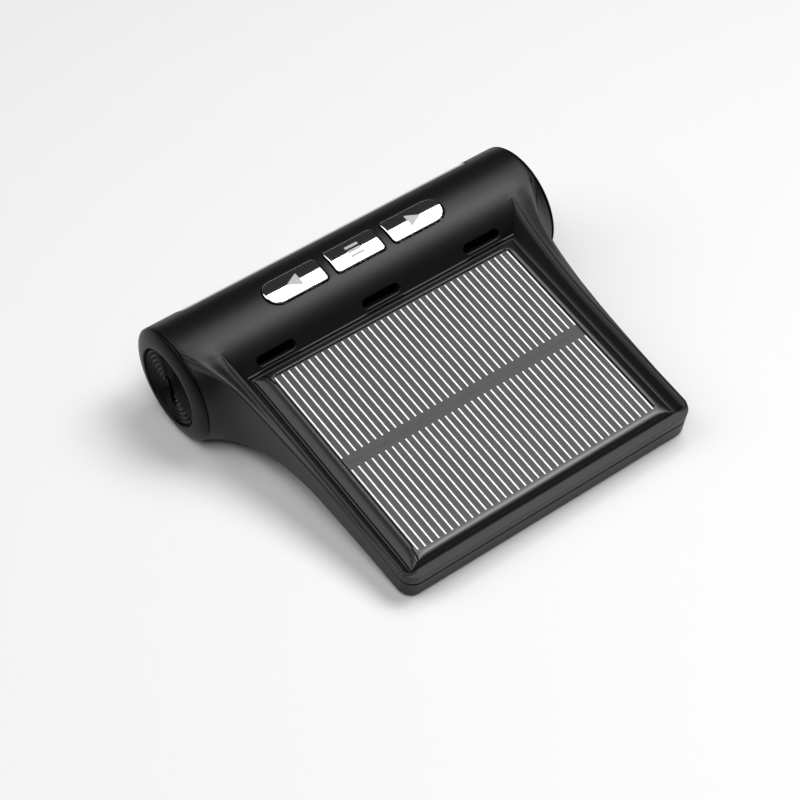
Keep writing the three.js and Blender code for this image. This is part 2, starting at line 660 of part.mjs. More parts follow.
function addMainBoard() {
  piece('main_board', mainBoard(), 'boardGreen');
  for (const side of sides) {
    const label = side < 0 ? 'left' : 'right';
    const size = { seat: -board.back - 0.1 - 0.05, tip: -board.back + 5, headR: 1.5, headH: 0.9, shankR: 0.7 };
    const screw = screwSolid(size).rotateX(Math.PI / 2).translate(side * boardScrew.x, 0, boardScrew.up);
    piece(`main_board_screw_${label}`, onBarrel(screw, board.lean), 'screw');
  }
  const onBoard = (name, geometry, look) => piece(name, onBarrel(geometry, board.lean), look);
  const face = board.back + 0.15;
  const socketMiddle = -0.7;
  const socket = solid(box(-39.4, -33.6, face, 1.35, socketMiddle - 3.75, socketMiddle + 3.75))
    .subtract(solid(box(-41, -35, face + 0.35, 1.0, socketMiddle - 3.4, socketMiddle + 3.4)));
  onBoard('usb_port', geometryOf(socket), 'steel');
  onBoard('microcontroller', box(-9, -2, face, face + 1.1, -5, 2), 'black');
  onBoard('radio_shield_can', box(2, 13, face, face + 1.6, -2.4, 2.4), 'steel');
  const sounder = solid(rodY(4.2, -18, -3.2, face, 1.3, 32)).subtract(solid(rodY(0.8, -18, -3.2, 0.5, 3, 12)));
  onBoard('buzzer', geometryOf(sounder), 'black');
  onBoard('vibration_sensor', rodX(1.1, 22, 28, face + 1.15, 1.2, 20), 'steel');
  piece('antenna_coil', antennaCoil(), 'copper');
}

function addDisplay() {
  piece('display_window', displayWindow(), 'smoked');
  piece('lcd_panel', displayPart(box(-28, 28, ...stack.lcd, -5.6, 5.6)), 'glass');
  piece('lcd_backlight', displayPart(box(-27.4, 27.4, ...stack.light, -5.2, 5.2)), 'white');
  piece('lcd_frame', displayFrame(), 'black');
  piece('display_ribbon', displayRibbon(), 'copper');
}

function addPower() {
  const cell = roundedSlab(-20, 20, -7.9, 7.9, -1.6, 1.6, 0.8, 0.5);
  piece('battery_cell', cell.rotateX(radians(-25)).translate(0, 45.4, -2.05), 'pouch');
  const socket = box(17, 23, board.front - 3, board.front - 0.2, -5, -1);
  piece('battery_connector', onBarrel(socket, board.lean), 'white');
  const leadR = 0.42;
  const plus = [[20.5, 45.6, -1.6], [22.2, 46.8, -1.4], [22.7, 49.6, -0.9], [21.9, 52.2, -1.1], [21.4, 54.0, -1.7]];
  const minus = [[20.6, 47.8, -2.6], [21.4, 48.6, -2.4], [21.4, 50.2, -2.2], [20.2, 52.3, -2.1], [19.2, 53.8, -2.4]];
  piece('battery_wire_red', roundBar(plus, leadR, 10), 'red');
  piece('battery_wire_black', roundBar(minus, leadR, 10), 'black');
  [['red', -0.65], ['black', 0.65]].forEach(([colour, shift]) => {
    const x = solarLead.x + shift;
    const route = [[x, solarLead.y, 4.15], [x, solarLead.y + 0.1, 2.6], [x, 49.8, 0.5], [x, 53.8, -0.6],
      [x, 57.7, -1.2]];
    piece(`solar_wire_${colour}`, roundBar(route, leadR, 10), colour);
  });
}

addHousing();
addSolarPanel();
addKeys();
addMainBoard();
addDisplay();
addPower();

// Tip the object onto the barrel and the plate's front edge, over the middle of the origin.
const tilt = Math.asin((barrel.r - plate.edgeR) / Math.hypot(barrel.y - plate.edgeR, barrel.z - plate.edgeR))
  - Math.atan2(barrel.z - plate.edgeR, barrel.y - plate.edgeR);
object.rotation.x = tilt;
object.updateMatrixWorld(true);
const bounds = new THREE.Box3().setFromObject(object, true);
object.position.set(-(bounds.min.x + bounds.max.x) / 2, -(bounds.min.y + bounds.max.y) / 2, -bounds.min.z);

export default object;
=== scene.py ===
import json
from math import acos, asin, atan, atan2, copysign, cos, exp, hypot, pi as PI, radians, sin, sqrt, tan
from math import degrees as to_degrees

import bmesh
import bpy
import numpy as np
from mathutils import Matrix, Vector


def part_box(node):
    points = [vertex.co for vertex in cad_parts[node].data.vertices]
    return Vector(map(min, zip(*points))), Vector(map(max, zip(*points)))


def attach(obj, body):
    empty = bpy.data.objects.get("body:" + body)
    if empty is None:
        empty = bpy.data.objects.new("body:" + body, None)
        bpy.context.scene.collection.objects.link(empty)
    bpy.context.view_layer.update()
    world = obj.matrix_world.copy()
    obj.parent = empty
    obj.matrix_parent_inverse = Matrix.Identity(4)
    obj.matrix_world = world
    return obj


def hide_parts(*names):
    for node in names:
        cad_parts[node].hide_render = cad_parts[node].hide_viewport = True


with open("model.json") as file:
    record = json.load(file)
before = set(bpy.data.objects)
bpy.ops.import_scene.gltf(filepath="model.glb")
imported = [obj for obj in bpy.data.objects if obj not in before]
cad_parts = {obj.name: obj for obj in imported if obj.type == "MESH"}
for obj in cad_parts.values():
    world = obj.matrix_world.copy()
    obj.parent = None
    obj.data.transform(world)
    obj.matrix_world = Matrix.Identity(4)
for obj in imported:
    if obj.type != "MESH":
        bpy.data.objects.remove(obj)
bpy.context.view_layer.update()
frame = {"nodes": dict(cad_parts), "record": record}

MM = 0.001
SIDES = (-1, 1)

# ---- driving dimensions, millimetres

AXIS_Y, AXIS_Z, BARREL_R, BORE_R = 61.2, -1.5, 11.585, 10.0
END_X, END_ROUND = 40.1, 0.3  # barrel's end plane, and the radius of its edge
RIM_R = 11.509  # a circle on that edge, where the flanks run out
SEAM_GAP = 0.22  # the joint between the two shells
PLATE_TOP, FRONT_EDGE_R, CORNER_R = 6.2, 0.8, 3.0
FLOOR_Z, FLOOR_HALF, WALL_SLOPE = 4.3, 30.45, 0.62  # the tray and its leaning side walls
APEX_Y = 56.4  # where the tray's side walls run out on the barrel
SEAM_END_Y = 59.2
LEDGE_Z, LEDGE_Y = 4.85, 51.15  # narrow ledge between the tray and the barrel
TOP_WALL, LOW_WALL = 0.35, 0.7  # walls that show at the shells' edges


def smooth(t):
    t = np.clip(t, 0, 1)
    return t * t * (3 - 2 * t)


def shares(count):
    return np.linspace(0, 1, count)


def mix(a, b, t):
    """The point a share t of the way from a to b."""
    return tuple(p + (q - p) * t for p, q in zip(a, b))


def curve_through(points):
    """A smooth function through the points, with no overshoot."""
    x, v = np.array(points, float).T
    rate = np.diff(v) / np.diff(x)
    slope = np.zeros(len(x))
    same = rate[:-1] * rate[1:] > 0
    slope[1:-1][same] = 2 * rate[:-1][same] * rate[1:][same] / (rate[:-1] + rate[1:])[same]

    def value(at):
        at = np.clip(at, x[0], x[-1])
        i = np.clip(np.searchsorted(x, at, "right") - 1, 0, len(x) - 2)
        span = x[i + 1] - x[i]
        t = (at - x[i]) / span
        rise = smooth(t)
        return (v[i] * (1 - rise) + v[i + 1] * rise
                + span * (slope[i] * t * (1 - t) ** 2 - slope[i + 1] * t * t * (1 - t)))

    return value


# Side views of the plate: the rim's outer edge, the crease on the rim, the underside and the joint.
rim_out = curve_through([(0, 6.2), (14, 6.2), (27, 6.2), (33, 6.33), (39, 6.72), (45, 7.45), (51, 8.5),
                         (54, 9.3), (57, 9.88), (61.2, 10.1)])
rim_in = curve_through([(0, 6.2), (14, 6.2), (27, 6.2), (33, 6.3), (39, 6.6), (45, 7.1), (50, 7.65),
                        (53.4, 8.2), (56.4, 9.06)])
under = curve_through([(0, 0), (13, 0), (26, 0), (33, -.8), (39, -2.85), (45, -5.8), (51, -9.15),
                       (55.5, -11.6), (58, -13.0)])
seam = curve_through([(-2, 4.0), (0, 4.0), (8, 4.75), (20, 5.55), (28, 5.95), (36, 6.2), (45, 7.15),
                      (51, 8.2), (54, 9.0), (57, 9.6), (59.2, 9.75)])


def circle_z(y):
    """Height of the barrel's surface at y."""
    return AXIS_Z + np.sqrt(np.maximum(0, BARREL_R ** 2 - (y - AXIS_Y) ** 2))


def off_barrel(y, z):
    """Distance in front of the barrel's surface, in the side view."""
    return np.maximum(0, np.hypot(y - AXIS_Y, z - AXIS_Z) - BARREL_R)


def flank_x(y, z):
    """Half width: the flanks flare out to the barrel's ends."""
    gap = off_barrel(y, z)
    return 32.33 + 4.17 * np.exp(-gap / 1.62) + 3.50 * np.exp(-gap / 18.8)


FRONT_HALF = flank_x(CORNER_R, PLATE_TOP)
FRONT_SET_BACK = 0.17  # the front wall stands this far inside the flanks' line


def on_barrel(degrees, r=BARREL_R):
    """(y, z) at an angle about the barrel's axis, 0 at the back and 90 on top."""
    angle = np.radians(degrees)
    return AXIS_Y + r * np.cos(angle), AXIS_Z + r * np.sin(angle)


# ---- mesh helpers

SHARP_ANGLE = 35  # degrees; edges that turn further stay sharp
left_cap_box = [Vector(corner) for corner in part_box("left_end_cap")]
REST_R = 11.6  # the barrel rests on this radius
TILT = (asin((REST_R - FRONT_EDGE_R) / hypot(AXIS_Y - FRONT_EDGE_R, AXIS_Z - FRONT_EDGE_R))
        - atan2(AXIS_Z - FRONT_EDGE_R, AXIS_Y - FRONT_EDGE_R))
TURN = Matrix.Rotation(TILT, 4, "X")
AXIS_WORLD = (left_cap_box[0] + left_cap_box[1]) / 2
SHIFT = AXIS_WORLD - TURN @ (Vector((0, AXIS_Y, AXIS_Z)) * MM)
TO_WORLD = Matrix.Translation((0, SHIFT.y, SHIFT.z)) @ TURN @ Matrix.Scale(MM, 4)


def add_object(name, data):
    obj = bpy.data.objects.new(name, data)
    bpy.context.scene.collection.objects.link(obj)
    return obj


def new_object(name, bm):
    mesh = bpy.data.meshes.new(name)
    bm.to_mesh(mesh)
    bm.free()
    return add_object(name, mesh)


class Sheet:
    """Patches of quads, each point with the inner point behind it, welded into one closed wall."""

    def __init__(self):
        self.bm = bmesh.new()
        self.inner = self.bm.verts.layers.float_vector.new("inner")

    def add(self, grid, side=1):
        """Adds rows of quads. Each row is its outer points and the inner points behind them."""
        rows = [[self.vert((side * p[0], *p[1:]), (side * q[0], *q[1:])) for p, q in zip(outer, inner)]
                for outer, inner in grid]
        for a, b in zip(rows[:-1], rows[1:]):
            for i in range(len(a) - 1):
                self.bm.faces.new((a[i], a[i + 1], b[i + 1], b[i]))
        return rows

    def vert(self, outer, inner):
        vert = self.bm.verts.new(outer)
        vert[self.inner] = inner
        return vert

    def close(self, name, up):
        """Welds the patches and adds the inner skin and the rim."""
        bm = self.bm
        bmesh.ops.remove_doubles(bm, verts=bm.verts, dist=2e-3)
        bmesh.ops.dissolve_degenerate(bm, edges=bm.edges, dist=1e-4)
        bmesh.ops.recalc_face_normals(bm, faces=bm.faces)
        bm.normal_update()
        top = max(bm.verts, key=lambda vert: vert.co.z * up)
        if top.normal.z * up < 0:
            bmesh.ops.reverse_faces(bm, faces=bm.faces)
        verts = list(bm.verts)
        twin = {v: bm.verts.new(v[self.inner]) for v in verts}
        rim = [e for e in bm.edges if len(e.link_faces) == 1]
        for face in list(bm.faces):
            bm.faces.new([twin[v] for v in reversed(face.verts)])
        for edge in rim:
            a = next(loop.vert for loop in edge.link_faces[0].loops if loop.edge == edge)
            b = edge.other_vert(a)
            bm.faces.new((b, a, twin[a], twin[b]))
        bmesh.ops.remove_doubles(bm, verts=bm.verts, dist=1e-4)
        bmesh.ops.dissolve_degenerate(bm, edges=bm.edges, dist=1e-5)
        return new_object(name, bm)


def place(obj, slot, replaces=(), body="housing", material=None):
    """Turns a finished mesh from plate millimetres into the frame, and says what it belongs to."""
    obj.data.transform(TO_WORLD)
    obj.data.shade_smooth()
    obj.data.set_sharp_from_angle(angle=radians(SHARP_ANGLE))
    obj.data.materials.clear()
    obj.data.materials.append(material or FINISHES[slot])
    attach(obj, body)
    if replaces:
        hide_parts(*replaces)


def cut(obj, cutters):
    """Cuts away the cutters, and removes them."""
    for cutter in cutters:
        modifier = obj.modifiers.new("cut", "BOOLEAN")
        modifier.operation = "DIFFERENCE"
        modifier.solver = "EXACT"
        modifier.object = cutter
    depsgraph = bpy.context.evaluated_depsgraph_get()
    mesh = bpy.data.meshes.new_from_object(obj.evaluated_get(depsgraph))
    obj.modifiers.clear()
    obj.data = mesh
    for cutter in cutters:
        bpy.data.objects.remove(cutter)


def skin(bm, rings, closed=False):
    """Skins closed rings of points. The run of rings is closed too, or else both its ends are."""
    loops = [[bm.verts.new(p) for p in ring] for ring in rings]
    following = loops[1:] + loops[:1] if closed else loops[1:]
    for a, b in zip(loops, following):
        for i in range(len(a)):
            j = (i + 1) % len(a)
            bm.faces.new((a[i], a[j], b[j], b[i]))
    if not closed:
        bm.faces.new(loops[0])
        bm.faces.new(reversed(loops[-1]))
    bmesh.ops.recalc_face_normals(bm, faces=bm.faces)


def loft(name, rings, closed=False):
    bm = bmesh.new()
    skin(bm, rings, closed)
    bmesh.ops.remove_doubles(bm, verts=bm.verts, dist=1e-4)
    bmesh.ops.recalc_face_normals(bm, faces=bm.faces)
    return new_object(name, bm)


# ---- top shell

MIDDLE = np.linspace(-1, 1, 65)  # columns across the tray and the barrel
CORNER_X = FRONT_HALF - CORNER_R
FRONT_FRAMES = [(x, 1.0) for x in np.linspace(0, CORNER_X, 15)[:-1]]
FRONT_FRAMES += [(CORNER_X, turn) for turn in np.linspace(1, 0, 13)]
RIM_BEAD, CREASE_WIDE, CREASE_DEEP, CREASE_FADE = 1.0, 0.5, 0.13, 1.5
EDGE_R, FRONT_EASE, REAR_EASE = 0.16, 0.1, 0.3  # the rim's outer edge, and how much sharper it gets
LIP_R = 0.12  # eased edge at the joint


def front_bend(centre_x, turn):
    """Bends a section's (x, z) round the plate's front: turn is 1 along the front and 0 on the side."""
    angle = turn * PI / 2

    def to_point(x, z):
        reach = x - CORNER_X - (flank_x(CORNER_R, z) - FRONT_HALF + FRONT_SET_BACK) * turn
        return (centre_x + reach * cos(angle), CORNER_R - reach * sin(angle), z)

    return to_point


def rim_section(y, bottom_z, on_floor, front=0.0):
    """Inner part of the rim's section as (x, z, way x, way z): fillet, wall, rounded bead and crease.
    The ways point into the wall. front turns the side's section into the front edge's."""
    top = rim_in(y) if y < APEX_Y else bottom_z
    slope = WALL_SLOPE * (1 - 0.7 * front)
    foot = FLOOR_HALF - 0.21 * front
    height = top - bottom_z
    bead = min(RIM_BEAD - 0.45 * front, 1.4 * height)
    lean = atan(slope)
    wall_x = lambda z: foot + slope * (z - FLOOR_Z)
    start = PI - lean
    centre_z = top - bead
    centre_x = wall_x(centre_z) + bead * hypot(1, slope)
    fillet = 0.25 * on_floor
    base_x = wall_x(bottom_z)
    points = [(base_x - 0.6 * on_floor, bottom_z, 0, -1), (base_x - 0.2 * on_floor, bottom_z, 0.2, -1),
              (base_x, bottom_z + 0.25 * fillet, 0.6, -0.8)]
    low = bottom_z + fillet
    high = centre_z + bead * sin(start)
    for t in shares(5):
        z = low + (high - low) * t
        points.append((wall_x(z), z, cos(lean), -sin(lean)))
    for t in shares(10)[1:]:
        angle = start + (PI / 2 - start) * t
        points.append((centre_x + bead * cos(angle), centre_z + bead * sin(angle), -cos(angle), -sin(angle)))
    crease = min(1.0, height / CREASE_FADE) * (1 - front)
    for t in (0.2, 0.35, 0.5, 0.65, 0.8, 1.0):
        points.append((centre_x + CREASE_WIDE * crease * t,
                       top - CREASE_DEEP * crease * sin(PI * t) ** 2, 0, -1))
    return points, min(TOP_WALL, 0.7 * bead + 0.03)


def outer_section(y, start_x, start_z, edge_r):
    """Outer part of the rim's section: its top, rounded outer edge, outer wall and the joint's lip."""
    high = rim_out(y)
    half = float(flank_x(y, high))
    points = [(start_x + (half - edge_r - start_x) * t, start_z + (high - start_z) * smooth(t), 0, -1)
              for t in shares(7)]
    for angle in np.linspace(PI / 2, 0, 7)[1:]:
        points.append((half - edge_r + edge_r * cos(angle), high - edge_r + edge_r * sin(angle),
                       -cos(angle), -sin(angle)))
    foot = seam(y) + SEAM_GAP / 2
    lip = min(LIP_R, (high - edge_r - foot) * 0.4)
    for t in shares(5)[1:]:
        z = high - edge_r + (foot + lip - high + edge_r) * t
        points.append((flank_x(y, z), z, -1, 0))
    z = foot + lip
    for turn in np.radians((-30, -60, -90)):
        points.append((flank_x(y, z) - lip + lip * cos(turn), z + lip * sin(turn), -1, 0.3))
    return points


def barrel_turns(start, end, count=66):
    """(degrees, drop) of the barrel's rows up to the joint at its back, where the edge is eased."""
    way = 1 if end > start else -1
    gap = to_degrees(SEAM_GAP / 2 / BARREL_R)
    rows = [(degrees, 0.0) for degrees in np.linspace(start, end - way * (gap + 0.6), count)]
    eased = ((0.25, 0.015), (0.08, 0.05), (0, 0.14))
    return rows + [(end - way * (gap + more), drop) for more, drop in eased]


def end_face():
    """Points (x, r) straight down the barrel's end face."""
    return [(END_X, BARREL_R - END_ROUND - 0.9 * t) for t in shares(8)[1:]]


def round_axis(rows, angle):
    """Turns (x, r) into points at an angle about the barrel's axis."""
    return [(x, AXIS_Y + r * cos(angle), AXIS_Z + r * sin(angle)) for x, r in rows]


def ring_columns(degrees, bump, first_x, drop=0.0, steps=7):
    """Barrel rows outside the tray: surface out to the end circle, then the end face."""
    edge_x = END_X - END_ROUND
    run = steps if first_x < edge_x else 1
    rows = [(first_x + (edge_x - first_x) * t, BARREL_R - drop + bump * smooth(t))
            for t in shares(run)]
    for t in shares(steps)[1:]:
        turn = PI / 2 * (1 - t)
        rows.append((edge_x + END_ROUND * cos(turn),
                     BARREL_R - drop + bump * (1 - t) - END_ROUND * (1 - sin(turn))))
    rows += end_face()
    inner = [(min(x, END_X - 1.6 + 0.1 * i), BORE_R) for i, (x, _) in enumerate(rows)]
    angle = radians(degrees)
    return round_axis(rows, angle), round_axis(inner, angle)


def front_angle(y):
    """Degrees about the barrel's axis of its surface at y, over the top."""
    return to_degrees(acos((y - AXIS_Y) / BARREL_R))


def side_stations():
    """(y, bottom height, on floor) from the front corner over the ledge to the apex on the barrel."""
    low, high = FLOOR_Z, LEDGE_Z
    back = AXIS_Y - sqrt(BARREL_R ** 2 - (high - AXIS_Z) ** 2)
    floor = [*np.linspace(CORNER_R, 27, 13), *np.linspace(28.5, LEDGE_Y - 0.35, 17)]
    ledge = [(-0.05, low, 1.0), (0, low + 0.05, 0), (0, high - 0.12, 0), (0.035, high - 0.035, 0),
             (0.12, high, 0)]
    rows = [(y, low, 1.0) for y in floor] + [(LEDGE_Y + dy, z, on_floor) for dy, z, on_floor in ledge]
    rows.append((back - 0.03, high, 0))
    barrel = [on_barrel(degrees) for degrees in np.linspace(front_angle(back), front_angle(APEX_Y), 22)]
    return rows + [(y, z, 0) for y, z in barrel], len(ledge) + 1


def top_shell_sheet():
    sheet = Sheet()
    stations, ledge_count = side_stations()
    rear_y = np.linspace(APEX_Y, SEAM_END_Y, 7)[1:]
    turns = barrel_turns(front_angle(SEAM_END_Y) - 0.6, 0.0)
    apex_x = FLOOR_HALF + WALL_SLOPE * (circle_z(APEX_Y) - FLOOR_Z)
    inner_grid, outer_grid = [], []

    def split(points, wall, to_point):
        return ([to_point(x, z) for x, z, _, _ in points],
                [to_point(x + wall * wx, z + wall * wz) for x, z, wx, wz in points])

    def add_section(y, bottom_z, on_floor, to_point, front=0.0):
        inner_part, wall = rim_section(y, bottom_z, on_floor, front)
        outer_part = outer_section(y, *inner_part[-1][:2], EDGE_R - FRONT_EASE * front)
        inner_grid.append(split(inner_part, wall, to_point))
        outer_grid.append(split(outer_part, TOP_WALL, to_point))

    for centre_x, turn in FRONT_FRAMES:
        add_section(CORNER_R, FLOOR_Z, 1.0, front_bend(centre_x, turn), smooth(turn))
    for y, bottom_z, on_floor in stations[1:]:
        add_section(y, bottom_z, on_floor, lambda x, z, y=y: (x, y, z))
    for y in rear_y:
        edge_r = 0.5 - REAR_EASE * smooth((y - 50) / 9)
        part = outer_section(y, apex_x, circle_z(y), edge_r)
        outer_grid.append(split(part, TOP_WALL, lambda x, z, y=y: (x, y, z)))
    for degrees, drop in turns:
        y = on_barrel(degrees)[0]
        bump = off_barrel(y, rim_out(y)) if degrees > 90 else 0.0
        outer_grid.append(ring_columns(degrees, bump, apex_x, drop))
    floor_rows = len(FRONT_FRAMES) + sum(1 for s in stations[1:] if s[0] <= LEDGE_Y - 0.34)
    floor_edge = []
    for side in SIDES:
        rows = sheet.add(inner_grid, side)
        sheet.add(outer_grid, side)
        floor_edge.append([row[0].co.copy() for row in rows[:floor_rows]])

    # The barrel between the rims, from the ledge over the top to the joint at the back.
    middle = []
    for k, (y, z, on_floor) in enumerate(s for s in stations if s[0] >= LEDGE_Y - 0.36):
        half = rim_section(y, z, on_floor)[0][0][0]
        if k <= ledge_count:
            t = k / (ledge_count + 1)
            deep = np.array([LEDGE_Y - 0.3, FLOOR_Z - 1.0]) * (1 - t) + np.array(on_barrel(146.8, BORE_R)) * t
        else:
            deep = on_barrel(front_angle(y), BORE_R)
        middle.append(([(half * t, y, z) for t in MIDDLE],
                       [(half * t, deep[0] * (1 - abs(t) ** 8) + (y + .2) * abs(t) ** 8,
                         deep[1] * (1 - abs(t) ** 8) + (z - .25) * abs(t) ** 8) for t in MIDDLE]))
    arcs = [((y, circle_z(y)), front_angle(y)) for y in rear_y]
    arcs += [(on_barrel(degrees, BARREL_R - drop), degrees) for degrees, drop in turns]
    for spot, degrees in arcs:
        middle.append(([(apex_x * t, *spot) for t in MIDDLE],
                       [(apex_x * t, *on_barrel(degrees, BORE_R)) for t in MIDDLE]))
    sheet.add(middle)
    # The flat floor is one face inside the fillets.
    loop = floor_edge[0][::-1] + floor_edge[1][1:] + [Vector(p) for p in reversed(middle[0][0][1:-1])]
    sheet.bm.faces.new([sheet.vert(p, (p[0], p[1], FLOOR_Z - 1.0)) for p in loop])
    return sheet


top_shell = top_shell_sheet().close("top_shell_skin", 1)


# ---- bottom shell

FIRST_EDGE_R, LAST_EDGE_R = 0.96, END_ROUND - 0.1  # underside's edge: plate, barrel
MORPH_FROM, MORPH_TO = 43.0, 55.5  # where the flank turns into the barrel


def end_columns(point):
    """From a point on the barrel's rounded end edge, over the edge and down the end face."""
    x, y, z = point
    r = hypot(y - AXIS_Y, z - AXIS_Z)
    start = asin(min(1.0, max(0.0, (r - BARREL_R + END_ROUND) / END_ROUND)))
    rows = [(x, r)]
    for t in shares(7)[1:]:
        turn = start * (1 - t)
        rows.append((END_X - END_ROUND * (1 - cos(turn)), BARREL_R - END_ROUND * (1 - sin(turn))))
    rows += end_face()
    angle = atan2(z - AXIS_Z, y - AXIS_Y)
    return round_axis(rows, angle), round_axis([(END_X - 0.8, r) for _, r in rows], angle)


def flank_points(line, edge_r):
    """Underside edge, flank and lip from a function s -> (y, z), as (x, y, z) and inner points."""
    outer, inner = [], []
    length = max(1e-3, np.linalg.norm(line(1.0) - line(0.0)))
    s0 = edge_r / length
    foot, knee = line(0.0), line(s0)
    corner = np.array((flank_x(*foot), *foot))
    begin = np.array((corner[0] - edge_r, *foot))
    finish = np.array((flank_x(*knee), *knee))
    up = (knee - foot) / max(1e-6, np.linalg.norm(knee - foot))
    for t in shares(7):
        p = begin * (1 - t) ** 2 + 2 * t * (1 - t) * corner + t * t * finish
        outer.append(p)
        inner.append(p + LOW_WALL * np.array([-t, *(up * (1 - t))]))
    for s in s0 + (1 - s0) * shares(22)[1:]:
        y, z = line(s)
        p = np.array([flank_x(y, z), y, z])
        if s > 0.999:
            for into, down in ((0.0, 0.1), (0.03, 0.03)):
                outer.append(p - np.array([into, 0, down]))
                inner.append(p - np.array([LOW_WALL, 0, down]))
            p = p - np.array([0.1, 0, 0])
        outer.append(p)
        inner.append(p - np.array([LOW_WALL, 0, 0]))
    return outer, inner


def seam_of(y):
    return seam(y) - SEAM_GAP / 2


def polar(y, z):
    """Degrees about the barrel's axis, and the distance from it."""
    return to_degrees(atan2(z - AXIS_Z, y - AXIS_Y)) % 360, hypot(z - AXIS_Z, y - AXIS_Y)


LOW_ANGLE, _ = polar(MORPH_TO, under(MORPH_TO))
SEAM_ANGLE, SEAM_R = polar(SEAM_END_Y, seam_of(SEAM_END_Y))


def start_line(s):
    return np.array(mix((MORPH_FROM, under(MORPH_FROM)), (MORPH_FROM, seam_of(MORPH_FROM)), s))


def end_line(s):
    return np.array(on_barrel(LOW_ANGLE + (SEAM_ANGLE - LOW_ANGLE) * s, RIM_R + (SEAM_R - RIM_R) * s ** 6))


def low_line(t):
    y = MORPH_FROM + (MORPH_TO - MORPH_FROM) * t
    return np.array([y, under(y)])


def seam_line(t):
    y = MORPH_FROM + (SEAM_END_Y - MORPH_FROM) * t
    return np.array([y, seam_of(y)])


def coons(s, t):
    """A point (y, z) of the flank between the plate and the barrel's end circle."""
    edges = (1 - t) * start_line(s) + t * end_line(s) + (1 - s) * low_line(t) + s * seam_line(t)
    corners = ((1 - s) * (1 - t) * start_line(0) + s * (1 - t) * start_line(1)
               + (1 - s) * t * end_line(0) + s * t * end_line(1))
    return edges - corners


def bottom_shell_sheet():
    sheet = Sheet()
    plate_y = [*np.linspace(CORNER_R, 27, 10), *np.linspace(28.5, MORPH_FROM, 12)]
    morph = shares(30)[1:]
    front = flank_points(lambda s: np.array([CORNER_R, seam_of(0) * s]), FIRST_EDGE_R)
    grid = []
    for centre_x, turn in FRONT_FRAMES:
        bend = front_bend(centre_x, turn)

        def to_point(p):
            x, y, z = bend(p[0], p[2])
            return x, y, z + max(0, (seam_of(y) - seam_of(0)) * z / seam_of(0))

        grid.append([[to_point(p) for p in points] for points in front])
    front_line = [outer[0] for outer, _ in grid]
    half_rows = [front_line[-1][0]]
    for y in plate_y[1:]:
        line = lambda s, y=y: np.array(mix((y, under(y)), (y, seam_of(y)), s))
        grid.append(flank_points(line, FIRST_EDGE_R))
        half_rows.append(grid[-1][0][0][0])
    for t in morph:
        grid.append(flank_points(lambda s, t=t: coons(s, t), FIRST_EDGE_R + (LAST_EDGE_R - FIRST_EDGE_R) * t))
        if t == 1:
            grid[-1][0][0][0] = END_X - END_ROUND
        half_rows.append(grid[-1][0][0][0])
    ends = [end_columns(p) for p in grid[-1][0]]
    turns = barrel_turns(LOW_ANGLE, 360)
    lower = [ring_columns(degrees, 0.0, END_X - END_ROUND, drop) for degrees, drop in turns]
    for side in SIDES:
        for part in (grid, ends, lower):
            sheet.add(part, side)
    # Underside between the edges, then the barrel's lower half up to the joint at the back.
    ys = plate_y + [low_line(t)[0] for t in morph]
    rows = [([(half * t, y, under(y)) for t in MIDDLE], [(half * t, y, under(y) + LOW_WALL) for t in MIDDLE])
            for half, y in zip(half_rows, ys)]
    for degrees, drop in turns[1:]:
        rows.append(([((END_X - END_ROUND) * t, *on_barrel(degrees, BARREL_R - drop)) for t in MIDDLE],
                     [((END_X - 1.6) * t, *on_barrel(degrees, BORE_R)) for t in MIDDLE]))
    sheet.add(rows)
    left, right = ([Vector((side * x, y, z)) for x, y, z in front_line] for side in SIDES)
    loop = left[::-1] + right[1:] + [Vector(p) for p in reversed(rows[0][0][1:-1])]
    sheet.bm.faces.new([sheet.vert(p, (p[0], p[1], LOW_WALL)) for p in loop])
    return sheet


bottom_shell = bottom_shell_sheet().close("bottom_shell_skin", -1)

# ---- outlines and shapes on the barrel

WINDOW_CENTRE, WINDOW_HALF, WINDOW_X = 10, 38, 33.2  # degrees and millimetres
KEY_CENTRE, KEY_HALF, KEY_GAP, KEY_CORNER = 88.1, 13.4, 0.25, 0.7
KEY_SPANS = {"previous": (-20.25, -7.6), "menu": (-5.5, 5.5), "next": (7.6, 20.25)}
VENT_XS, VENT_ANGLE, VENT_LONG, VENT_WIDE = (-23.75, 0, 23.75), 138.6, 8.4, 1.9


def across(degrees):
    """Length of an arc on the barrel's surface."""
    return radians(degrees) * BARREL_R


def outline(x0, x1, half, left_r, right_r, grow=0.0, arc=10, run=16):
    """Points (x, a) round a rectangle from -half to half across, with rounded corners, grown by grow."""
    corners = [(x1 - right_r, half - right_r, right_r, 0), (x0 + left_r, half - left_r, left_r, 90),
               (x0 + left_r, left_r - half, left_r, 180), (x1 - right_r, right_r - half, right_r, 270)]
    points = []
    for k, (x, a, r, turn) in enumerate(corners):
        next_x, next_a, next_r, next_turn = corners[(k + 1) % 4]
        for t in np.linspace(0, 90, arc):
            angle = radians(turn + t)
            points.append((x + (r + grow) * cos(angle), a + (r + grow) * sin(angle)))
        angle = radians(next_turn)
        goal = (next_x + (next_r + grow) * cos(angle), next_a + (next_r + grow) * sin(angle))
        start = points[-1]
        points += [mix(start, goal, t) for t in shares(run + 1)[1:-1]]
    return points


def wrap(points, centre, r):
    """Lays flat points on the barrel about an angle, at radius r."""
    return [(x, *on_barrel(centre + to_degrees(a / BARREL_R), r)) for x, a in points]


def scaled(points, k):
    mean = np.mean(points, axis=0)
    return [tuple(mean + (np.array(p) - mean) * k) for p in points]


def closing(points, centre, r, steps=7):
    """Rings at one radius that shrink from points to the middle, so that a curved end stays curved."""
    return [wrap(scaled(points, k), centre, r) for k in np.linspace(1, 0.04, steps)[1:]]


